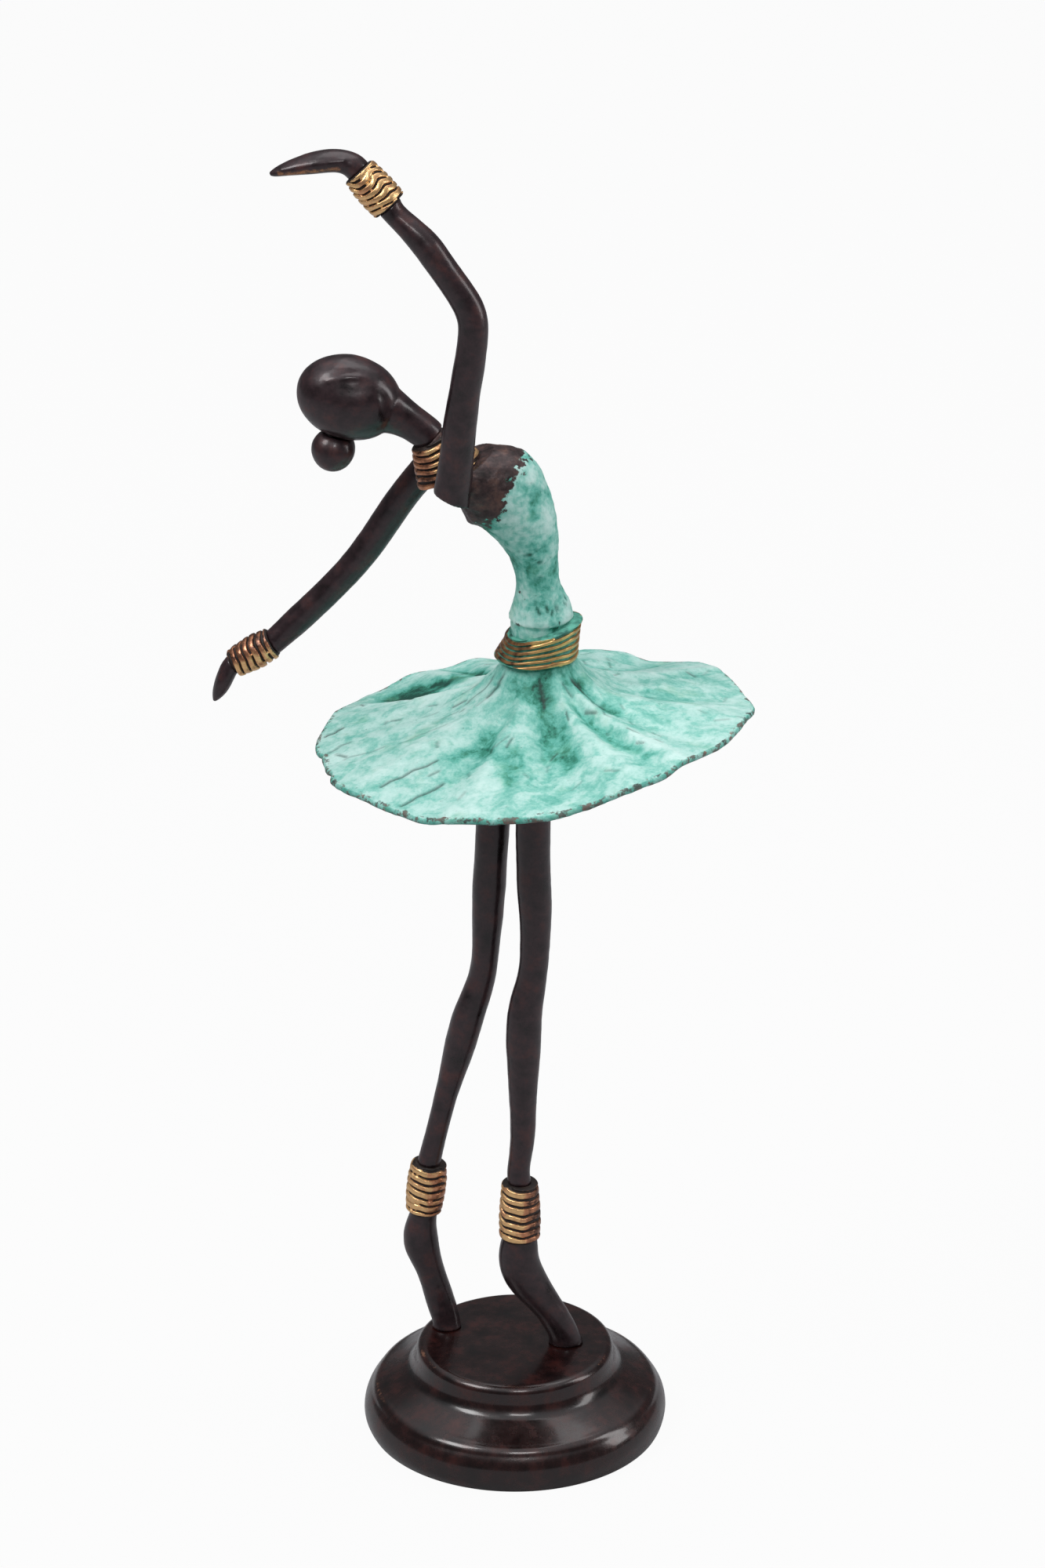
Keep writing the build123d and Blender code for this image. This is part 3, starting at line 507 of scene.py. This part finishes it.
# ---------------------------------------------------------------- base
def lathe_profile(tree, centre, outward, low, high, steps=240):
    """Radius and height where rays in the YZ plane meet a turned solid, evenly spaced along it."""
    found = []
    for angle in np.radians(np.linspace(high, low, steps * 4)):
        direction = Vector((0.0021, -cos(angle), sin(angle)))
        start = Vector((0, 0, centre))
        if outward:
            hit = tree.ray_cast(start, direction)[0]
        else:
            hit = tree.ray_cast(start + direction * 150, -direction)[0]
        if hit is not None:
            found.append((Vector(hit[:2]).length, hit[2]))
    found = np.array(found)
    length = np.concatenate([[0], np.cumsum(np.linalg.norm(np.diff(found, axis=0), axis=1))])
    even = np.linspace(0, length[-1], steps)
    return np.stack([np.interp(even, length, found[:, 0]), np.interp(even, length, found[:, 1])], 1)


def make_base():
    around = 400
    tree = cad_tree("base_plinth")
    outside = lathe_profile(tree, 6.0, False, -6.4, 89.9, 140)
    inside = lathe_profile(tree, 4.0, True, -4.6, 89.9, 50)
    profile = np.concatenate([outside, inside[::-1]])
    angle = np.arange(around) * 2 * pi / around
    rings = len(profile)
    radius = np.repeat(profile[:, 0], around)
    height = np.repeat(profile[:, 1], around)
    turn = np.tile(angle, rings)
    points = np.stack([radius * np.cos(turn), radius * np.sin(turn), height], 1)
    faces = rings_to_faces(rings, around)
    outer = np.repeat(np.arange(rings) < len(outside), around)
    normals = normals_of(points, faces)
    if (normals[around * 60] * points[around * 60]).sum() < 0:
        faces = faces[:, ::-1]
        normals = -normals
    uneven = 0.3 * lumps(points, 38, 61, 1) + 0.09 * lumps(points, 12, 62, 2)
    points = points + normals * (uneven * outer * ease(height / 3))[:, None]
    points[:, 2] = np.maximum(points[:, 2], 0)
    # Partly real rubbing, partly painted highlight: bright metallic bands along the tier's top edge and the
    # rim edge, where those edges catch the light.
    edge_top = np.exp(-(((radius - 34.4) / 1.0) ** 2 + ((height - 31.0) / 1.0) ** 2))
    edge_rim = np.exp(-(((radius - 50.0) / 1.5) ** 2 + ((height - 15.6) / 1.0) ** 2))
    patchy = ease(lumps(points, 16, 63, 3) * 0.8 + 0.3)
    wear = outer * np.maximum(0.8 * edge_top, 0.6 * edge_rim) * patchy
    # Painted shade: the cove under the upper tier and the whole inside of the base are darkened.
    cove = np.exp(-(((radius - 38.4) / 1.3) ** 2 + ((height - 22.3) / 1.2) ** 2))
    soot = np.where(outer, 0.75 * cove, 0.5)
    build("base_cast", points, faces, BASE, "dark_bronze", ["base_plinth"], wear=wear, soot=soot)


make_base()


# ---------------------------------------------------------------- wound ferrules
def ferrule_axis(name):
    """Start, direction and length of a turned ring, from its two flat ends."""
    corners, triangles = cad_arrays(name)
    a, b, c = corners[triangles[:, 0]], corners[triangles[:, 1]], corners[triangles[:, 2]]
    cross = np.cross(b - a, c - a)
    area = np.linalg.norm(cross, axis=1)
    unit = cross / np.maximum(area, 1e-12)[:, None]
    keys = {}
    for index, key in enumerate(map(tuple, np.round(unit, 2) + 0.0)):
        keys.setdefault(key, []).append(index)
    best = max(keys.values(), key=lambda group: area[group].sum())
    direction = (unit[best] * area[best][:, None]).sum(0)
    direction = direction / np.linalg.norm(direction)
    ends = []
    for sign in (-1, 1):
        along = corners @ (direction * sign)
        cap = corners[along > along.max() - 0.02]
        ends.append((cap.min(0) + cap.max(0)) / 2)
    start, finish = ends
    return start, direction, (finish - start) @ direction


WAYS = 12  # rays cast around a ferrule at each station along it
STATIONS = 41


def wound(
    name,
    strands,
    material,
    slot,
    seed,
    lean=0.0,
    lean_at=0.0,
    groove=0.75,
    tarnish_at=(0.0, 0.0),
    upright=False,
    keep_y=None,
    merge=0.25,
    face=0.52,
    drop=0.0,
    tip=0.0,
    waver=0.3,
):
    """A cast winding: strands of uneven width that merge and part, over the CAD ring's outline."""
    around, rows = ((300, 170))
    tree = cad_tree(name)
    if upright:
        low, high = [np.array(v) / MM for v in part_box(name)]
        direction = np.array([0.0, 0.0, 1.0])
        start = np.array([BELT_X, 0.0, low[2]])
        length = high[2] - low[2]
    else:
        start, direction, length = ferrule_axis(name)
    side = np.cross([0, 1, 0], direction)
    side = side / np.linalg.norm(side)
    other = np.cross(direction, side)
    turn = np.arange(around) * 2 * pi / around
    share = np.linspace(0, 1, rows)
    stations = np.linspace(0.01, 0.99, STATIONS)
    crest = np.zeros((WAYS, STATIONS))
    for i, angle in enumerate(np.arange(WAYS) * 2 * pi / WAYS + 0.2):
        way = side * cos(angle) + other * sin(angle)
        for j, t in enumerate(stations):
            origin = start + direction * (t * length)
            hit = tree.ray_cast(Vector(origin + way * 40), Vector(-way))[0]
            if hit is not None:
                crest[i, j] = (np.array(hit) - origin) @ way
    top = []
    for j in range(STATIONS):
        if keep_y is None:
            top.append(crest[:, max(0, j - 4) : j + 5].max())
        else:  # the flats leave few full-width hits, so a high middle value stands for the crest
            near = np.sort(crest[:, max(0, j - 3) : j + 4].ravel())
            top.append(np.median(near[-12:]))
    bend = np.polyfit(stations, np.array(top), 2)
    angle, t = np.meshgrid(turn, share)
    envelope = np.polyval(bend, t)
    ring_points = np.stack([np.cos(angle) * 3, np.sin(angle) * 3, t * 3 * strands / 5], -1).reshape(-1, 3)
    wobble = lumps(ring_points, 3.0, seed, 2).reshape(t.shape)
    phase = t * strands + lean * np.cos(angle - lean_at) + waver * wobble
    if not upright:
        phase = phase + angle / (2 * pi)
    band = np.floor(phase).astype(np.int64)
    inside = np.abs((phase - band) - 0.5) * 2
    width = face + 0.2 * (lattice(band, band * 0, band * 0, seed) - 0.5)
    cut = ease((inside - width) / 0.26)
    joined = ease(lumps(ring_points + 9, 1.3, seed + 3, 2).reshape(t.shape) * 1.6 + merge * 3 - 1.1)
    cut = cut * (1 - 0.85 * joined)
    dome = 0.22 * inside**2
    fine = lumps(ring_points, 1.0, seed + 6, 2).reshape(t.shape)
    broad = lumps(ring_points, 2.6, seed + 8, 2).reshape(t.shape)
    uneven = 0.07 * fine + 0.2 * broad
    band_lift = 0.25 * (lattice(band, band * 0 + 3, band * 0, seed) - 0.5)
    radius = envelope + 0.1 - groove * cut - dome + uneven * 0.6 + band_lift * (1 - cut)
    end = np.minimum(t, 1 - t) * length
    cut = np.maximum(cut, 1 - ease(end / 0.9))
    radius = radius - 0.5 * (1 - ease(end / 0.7)) ** 2
    inner = 0.62 * envelope
    rows_out = [inner[0], *radius, inner[-1]]
    share_out = [0.0, *share, 1.0]
    cut_out = [np.ones(around), *cut, np.ones(around)]
    points = np.concatenate(
        [
            start
            + direction * (s * (length - drop * (1 - np.cos(turn)) / 2))[:, None]
            + side * (r * np.cos(turn) + tip * (s - 0.5))[:, None]
            + other * (r * np.sin(turn))[:, None]
            for r, s in zip(rows_out, share_out)
        ]
    )
    if keep_y is not None:
        points[:, 1] = np.clip(points[:, 1], -keep_y, keep_y)
    rings = len(rows_out)
    faces = rings_to_faces(rings, around)
    normals = normals_of(points, faces)
    middle = around * (rings // 2)
    if (normals[middle] @ (points[middle] - start - direction * length / 2)) < 0:
        faces = faces[:, ::-1]
    spin = np.tile(turn, rings)
    tarnish = tarnish_at[1] * ease((np.cos(spin - tarnish_at[0]) + 0.1) / 0.8)
    grooves = np.concatenate(cut_out)
    build(name + "_wound", points, faces, material, slot, [name], groove=grooves, tarnish=tarnish)


wound("left_ankle_cuff", 7, STRANDS, "polished_bronze", 71, 0.12, 2.0, tarnish_at=(pi, 0.55))
wound("right_ankle_cuff", 7, STRANDS, "polished_bronze", 72, 0.16, 1.0, tarnish_at=(pi, 0.85))
wound("left_wrist_cuff", 6, STRANDS, "polished_bronze", 73, 0.2, 0.5, tarnish_at=(pi, 0.9))
wound("right_wrist_cuff", 6, STRANDS, "polished_bronze", 75, 0.5, 0.5, merge=0.36, waver=0.45)
wound(
    "neck_rings",
    6,
    STRANDS,
    "polished_bronze",
    77,
    0.25,
    groove=1.0,
    tarnish_at=(0.0, 0.7),
    keep_y=11.8,
    merge=0.0,
    face=0.42,
)
wound(
    "waist_wrap",
    6,
    BELT,
    "polished_bronze",
    79,
    -0.3,
    groove=1.0,
    tarnish_at=(pi, 0.6),
    upright=True,
    merge=0.2,
    face=0.44,
    drop=5.6,
    tip=3.0,
    waver=0.5,
)


# ---------------------------------------------------------------- torso
def make_torso():
    points, faces, edges, normals = dense("torso", 0.6)
    x, _y, z = points.T
    rough = 0.42 * lumps(points, 8, 81, 3) + 0.14 * lumps(points, 1.8, 82, 2)
    points = points + normals * rough[:, None]
    rng = np.random.default_rng(5)
    cracks = np.zeros(len(points))
    for _ in range(16):
        turn = rng.uniform(-2.6, 0.0)
        start = np.array([BELT_X + 9 * cos(turn), 9.4 * sin(turn), rng.uniform(318, 326)])
        line = [start, start + [rng.uniform(-1, 1), 0, rng.uniform(2, 5)]]
        cracks = np.maximum(cracks, 0.6 * near_line(points, line, rng.uniform(0.35, 0.6)))
    for _ in range(26):
        start = np.array([rng.uniform(-6, 12), -9.5, rng.uniform(326, 362)])
        line = [start, start + [rng.uniform(-3, 3), rng.uniform(-1, 1), rng.uniform(-1.6, 1.6)]]
        depth = rng.uniform(0.4, 0.9)
        cracks = np.maximum(cracks, depth * near_line(points, line, rng.uniform(0.4, 0.8)))
    points = points - normals * (0.5 * cracks)[:, None]
    normals = normals_of(points, faces)
    low = hollows(points, normals, edges, 10)
    border = np.where(z > 354, -9.6 + 0.532 * (z - 354), -9.6 - 0.9 * (354 - z))
    streaks = 4.2 * lumps(points * [0.45, 1, 1], 5, 85, 3) + 2.4 * lumps(points, 1.8, 88, 2)
    bare = ease((border - x + streaks) / 5.0 * 0.5 + 0.5)
    bare = np.maximum(bare, 0.55 * ease(lumps(points, 4.5, 89, 3) * 2 - 1.0))
    bare = np.maximum(bare, ease((300 - z) / 2))
    hollow = 0.44 + 1.4 * low + 0.28 * lumps(points, 9, 86, 3)
    hollow = hollow + 0.4 * ease((x * 0.2 + 2 - (z - 335) * 0.06) * -1)
    layers = {"hollow": hollow, "crack": cracks, "bare": bare, "rim": 0 * x}
    build("torso_cast", points, faces, GREEN, "verdigris_bronze", ["torso"], **layers)


make_torso()

# ---------------------------------------------------------------- skirt
# Soft folds and hollows laid over the cast shape. Each is azimuth and radius of both ends, half
# width, height, and how much deeper the patina is there.
FOLDS = [
    (141, 63, 122, 48, 6.0, -1.4, 0.8),
    (147, 60, 143, 56, 2.0, -0.8, 0.65),
    (166, 30, 152, 70, 3.0, 1.0, -0.15),
    (168, 18, 160, 46, 2.2, 0.8, -0.1),
    (126, 44, 124, 70, 3.5, 0.7, -0.1),
    (116, 40, 115, 66, 3.0, -0.8, 0.3),
    (92, 30, 95, 66, 4.0, -0.6, 0.2),
    (52, 44, 50, 64, 5.0, -1.2, 0.42),
    (60, 30, 54, 50, 3.5, -0.5, 0.25),
    (36, 26, 33, 72, 3.5, 0.8, -0.15),
    (3, 44, 6, 62, 4.5, -0.7, 0.33),
    (-10, 34, -8, 60, 4.0, 0.5, -0.1),
    (-24, 40, -20, 62, 3.5, -0.35, 0.14),
    (-37, 17, -35, 31, 2.4, -0.7, 0.35),
    (-50, 22, -49, 68, 3.0, 0.7, -0.12),
    (-58, 26, -52, 62, 3.0, -0.9, 0.34),
    (-70, 22, -62, 66, 3.0, 0.7, -0.12),
    (-92, 14, -78, 47, 4.2, -0.9, 0.36),
    (-84, 28, -79, 48, 3.0, -0.6, 0.25),
    (-104, 24, -96, 66, 4.0, 0.6, -0.12),
    (-101, 42, -100, 56, 3.2, -0.6, 0.34),
    (-112, 30, -112, 56, 3.0, 0.4, 0.02),
    (-126, 30, -119, 40, 2.4, -1.0, 0.42),
    (-119, 40, -106, 44, 2.4, -0.8, 0.36),
    (-131, 45, -122, 33, 2.4, -0.7, 0.38),
    (-106, 44, -100, 55, 3.0, -0.5, 0.25),
    (-150, 24, -146, 66, 5.0, 0.6, -0.12),
    (-172, 40, -170, 70, 4.5, 0.4, -0.08),
]
# Cast-in cracks: azimuth and radius of both ends, half width, depth.
CRACKS = [
    (-134, 50, -141, 70, 0.55, 0.8),
    (-124, 58, -129, 74, 0.6, 0.8),
    (-162, 56, -166, 70, 0.5, 0.4),
    (-176, 66, -174, 74, 0.6, 0.6),
    (172, 70, 175, 75, 0.7, 0.9),
    (-156, 36, -160, 52, 0.5, 0.3),
    (-172, 16, -168, 26, 0.6, 0.6),
    (-148, 14.5, -150, 21, 0.8, 0.7),
    (-88, 14.5, -86, 19, 0.6, 0.6),
    (-60, 15, -55, 19, 0.6, 0.5),
    (-44, 15, -36, 26, 0.9, 0.9),
]


def polar(azimuth, radius):
    """Points in the floor plane at a direction and distance from the skirt's axis."""
    turn = np.radians(azimuth)
    return np.stack([BELT_X + radius * np.cos(turn), radius * np.sin(turn), 0 * radius], -1)


def make_skirt():
    around = 640
    rings = 96
    tree = cad_tree("skirt")
    inner_radius = 11.2
    azimuth = np.arange(around) * 360 / around
    hem = []
    for a in azimuth:
        near, far = 60.0, 90.0
        for _ in range(12):
            middle = (near + far) / 2
            x, y, _z = polar(a, np.float64(middle))
            if tree.ray_cast(Vector((x, y, 400)), Vector((0, 0, -1)))[0] is None:
                far = middle
            else:
                near = middle
        hem.append(near - 0.1)
    hem = np.array(hem)
    circle = np.stack([np.cos(np.radians(azimuth)), np.sin(np.radians(azimuth)), 0 * azimuth], 1)
    nibble = 0.32 * lumps(circle, 0.12, 91, 3) - 0.6 * ease(lumps(circle, 0.09, 92, 2) * 1.5 - 0.9)
    notch = -1.6 * np.exp(-(((azimuth - 200) / 2.2) ** 2)) - 1.0 * np.exp(-(((azimuth - 186) / 1.8) ** 2))
    edge = hem - 0.5 + nibble + notch

    def heights(radii, under):
        found = np.zeros(radii.shape)
        top, way = (200.0, Vector((0, 0, 1))) if under else (400.0, Vector((0, 0, -1)))
        spots = polar(azimuth[None, :], radii)
        for i in range(radii.shape[0]):
            for j in range(radii.shape[1]):
                hit = tree.ray_cast(Vector((spots[i, j, 0], spots[i, j, 1], top)), way)[0]
                found[i, j] = hit[2] if hit is not None else found[i - 1, j]
        return found

    share = np.linspace(0, 1, rings) ** 0.92
    radius = inner_radius + (edge - inner_radius)[None, :] * share[:, None]
    height = heights(np.minimum(radius, hem[None, :]), False)
    flat = polar(azimuth[None, :] + 0 * radius, radius).reshape(-1, 3)
    relief = np.zeros(len(flat))
    tint = np.zeros(len(flat))
    for az0, r0, az1, r1, half_width, lift, deeper in FOLDS:
        line = [polar(az0, np.float64(r0)), polar(az1, np.float64(r1))]
        strength = near_line(flat, line, half_width)
        relief += (lift if lift > 0 or az0 > 140 else 0.6 * lift) * strength
        tint += deeper * near_line(flat, line, half_width * 1.15)
    cracks = np.zeros(len(flat))
    for az0, r0, az1, r1, half_width, depth in CRACKS:
        start, end = polar(az0, np.float64(r0)), polar(az1, np.float64(r1))
        line = []
        for k, t in enumerate(np.linspace(0, 1, 6)):
            jog = (lattice(k, k, k, int(r0)) - 0.5) * np.array([1.2, -1.2, 0])
            line.append(start + (end - start) * t + jog)
        strength = near_line(flat, line, half_width)
        relief -= 0.6 * depth * strength
        cracks = np.maximum(cracks, depth * strength)
    rng = np.random.default_rng(3)
    for _ in range(70):
        az, r = rng.uniform(0, 360), rng.uniform(17, 72)
        start = polar(az, np.float64(r))
        end = polar(az + rng.uniform(-4, 4), np.float64(r + rng.uniform(0.4, 5)))
        strength = near_line(flat, [start, end], rng.uniform(0.35, 0.7)) * rng.uniform(0.3, 0.9)
        relief -= 0.5 * strength
        cracks = np.maximum(cracks, 0.8 * strength)
    around_mm = np.radians(np.tile(azimuth, rings)) * 30
    stretched = np.stack([np.cos(around_mm / 30) * 22, np.sin(around_mm / 30) * 22, radius.ravel() * 0.25], 1)
    crinkle = lumps(stretched, 4.0, 93, 3)
    busy = near_line(flat, [polar(-95, np.float64(20)), polar(-75, np.float64(55))], 26)
    fade = ease((radius.ravel() - 12.5) / 5)
    fine = (0.08 + 0.2 * busy) * lumps(flat, 2.2, 95, 3)
    relief += fade * (0.45 * crinkle + 0.3 * lumps(flat, 9, 94, 3) + fine)
    surface = height + relief.reshape(height.shape)
    spectrum = np.fft.rfftfreq(around, 1 / around)
    smoothing = np.exp(-((spectrum / 14) ** 2))
    blurred = np.fft.irfft(np.fft.rfft(surface, axis=1) * smoothing, around, axis=1)
    low = (blurred - surface).ravel()
    pocket = near_line(flat, [polar(141, np.float64(63)), polar(122, np.float64(48))], 11)
    tint = np.where(pocket > 0.3, tint, np.minimum(0.62 * tint, 0.24))
    hollow = 0.28 + 0.10 * low + tint + 0.10 * crinkle + 0.10 * lumps(flat, 15, 96, 2) + 0.10 * busy
    hollow += 0.14 * (1 - ease((radius.ravel() - 14) / 9))
    to_edge = (edge[None, :] - radius).ravel()
    chips = lumps(flat, 6, 97, 3)
    rim = 0.5 * (1 - ease((to_edge - 0.4 - 1.0 * chips) / 1.1))
    bare = 0 * rim
    top = polar(azimuth[None, :] + 0 * radius, radius)
    top[..., 2] = surface
    wall = 2.3
    lip = []
    for angle in (35, 75, 115, 150):
        ring = polar(azimuth, edge + 0.9 * sin(radians(angle)) - 0.15)
        ring[:, 2] = surface[-1] - wall * (1 - cos(radians(angle))) / 2
        lip.append(ring)
    under_rings = 40
    under_share = np.linspace(1, 0, under_rings)
    under_radius = inner_radius + (edge - 0.4 - inner_radius)[None, :] * under_share[:, None]
    below = heights(np.minimum(under_radius, hem[None, :] - 0.1), True)
    below[0] = np.minimum(below[0], surface[-1] - wall)
    bottom = polar(azimuth[None, :] + 0 * under_radius, under_radius)
    bottom[..., 2] = below
    flat_below = bottom.reshape(-1, 3)
    uneven = (0.25 * lumps(flat_below, 8, 98, 3)).reshape(below.shape)
    bottom[..., 2] += uneven * ease(np.linspace(0, 6, under_rings))[:, None]
    points = np.concatenate([top.reshape(-1, 3), np.concatenate(lip), bottom.reshape(-1, 3)])
    extra = len(points) - len(flat)
    total = rings + len(lip) + under_rings
    faces = rings_to_faces(total, around)[:, ::-1]
    lip_count = len(lip) * around
    inward = np.repeat(np.arange(under_rings), around)
    rim = np.concatenate([rim, np.full(lip_count, 0.5), np.clip(0.7 - inward * 0.12, 0.1, 1)])
    bare = np.concatenate([bare, np.full(lip_count, 0.2), np.full(extra - lip_count, 0.62)])
    hollow = np.concatenate([hollow, np.full(lip_count, 0.5), np.full(extra - lip_count, 0.75)])
    cracks = np.concatenate([cracks, np.zeros(extra)])
    layers = {"hollow": hollow, "crack": cracks, "bare": bare, "rim": rim}
    build("skirt_cast", points, faces, GREEN, "verdigris_bronze", ["skirt"], **layers)


make_skirt()


# ---------------------------------------------------------------- floor, light and camera
def light(name, place, aim, size, power, colour=(1, 1, 1)):
    data = bpy.data.lights.new(name, "AREA")
    data.shape = "RECTANGLE"
    data.size, data.size_y = size
    data.energy = power
    data.color = colour
    lamp = bpy.data.objects.new(name, data)
    lamp.location = place
    lamp.rotation_euler = (Vector(aim) - Vector(place)).to_track_quat("-Z", "Y").to_euler()
    bpy.context.scene.collection.objects.link(lamp)


light("key", (-0.9, -0.5, 1.5), (0, 0, 0.28), (0.6, 0.6), 11)
light("front_top", (0.15, -1.1, 1.25), (0, 0, 0.25), (0.35, 0.25), 3.5)
light("right_side", (1.2, -0.1, 0.7), (0, 0, 0.25), (0.35, 0.9), 5)
light("overhead", (0.1, 0.3, 1.6), (0, 0, 0.25), (1.0, 1.0), 4.5)

world = bpy.data.worlds.new("studio")
bpy.context.scene.world = world
world.use_nodes = True
tree = world.node_tree
tree.nodes.clear()
way = node(tree, "TexCoord").outputs["Generated"]
parts = node(tree, "SeparateXYZ", {"Vector": way})
sky = remap(tree, parts.outputs["Z"], 0.45, 0.95, 0.12, 0.95)
lit = node(tree, "Background", {"Color": (0.96, 0.97, 1.0, 1), "Strength": sky})
white = node(tree, "Background", {"Color": (1, 1, 1, 1), "Strength": 1.0})
seen = node(tree, "LightPath").outputs["Is Camera Ray"]
both = node(tree, "MixShader", {0: seen, 1: lit.outputs[0], 2: white.outputs[0]})
out = node(tree, "OutputWorld", {"Surface": both.outputs[0]})

floor_mesh = bpy.data.meshes.new("floor")
FLOOR_REACH = 3.0
FLOOR_Z = -0.0002  # just clear of the base's foot
floor_corners = [(x * FLOOR_REACH, y * FLOOR_REACH, FLOOR_Z) for x, y in ((-1, -1), (1, -1), (1, 1), (-1, 1))]
floor_mesh.from_pydata(floor_corners, [], [(0, 1, 2, 3)])
floor = bpy.data.objects.new("floor", floor_mesh)
bpy.context.scene.collection.objects.link(floor)
floor_material, tree, shader = material("pale_floor")
link(tree, shader, Base_Color=(0.42, 0.42, 0.43, 1), Roughness=0.9)
glow = node(tree, "Emission", {"Color": (1, 1, 1, 1), "Strength": 1.0})
seen = node(tree, "LightPath").outputs["Is Camera Ray"]
share = math_node(tree, "MULTIPLY", seen, 0.95)
mixed = node(tree, "MixShader", {0: share, 1: shader.outputs[0], 2: glow.outputs[0]})
tree.links.new(mixed.outputs[0], next(n for n in tree.nodes if n.type == "OUTPUT_MATERIAL").inputs[0])
floor_mesh.materials.append(floor_material)

camera_data = bpy.data.cameras.new("camera")
camera_data.lens = 132.713
camera_data.sensor_width = 36
camera_data.clip_start = 0.05
camera_data.clip_end = 20
camera = bpy.data.objects.new("camera", camera_data)
camera.location = (0.002725, -1.833, 1.080)
camera.rotation_euler = (radians(65.7284), 0, 0)
bpy.context.scene.collection.objects.link(camera)
bpy.context.scene.camera = camera
bpy.context.scene.view_settings.view_transform = "Standard"
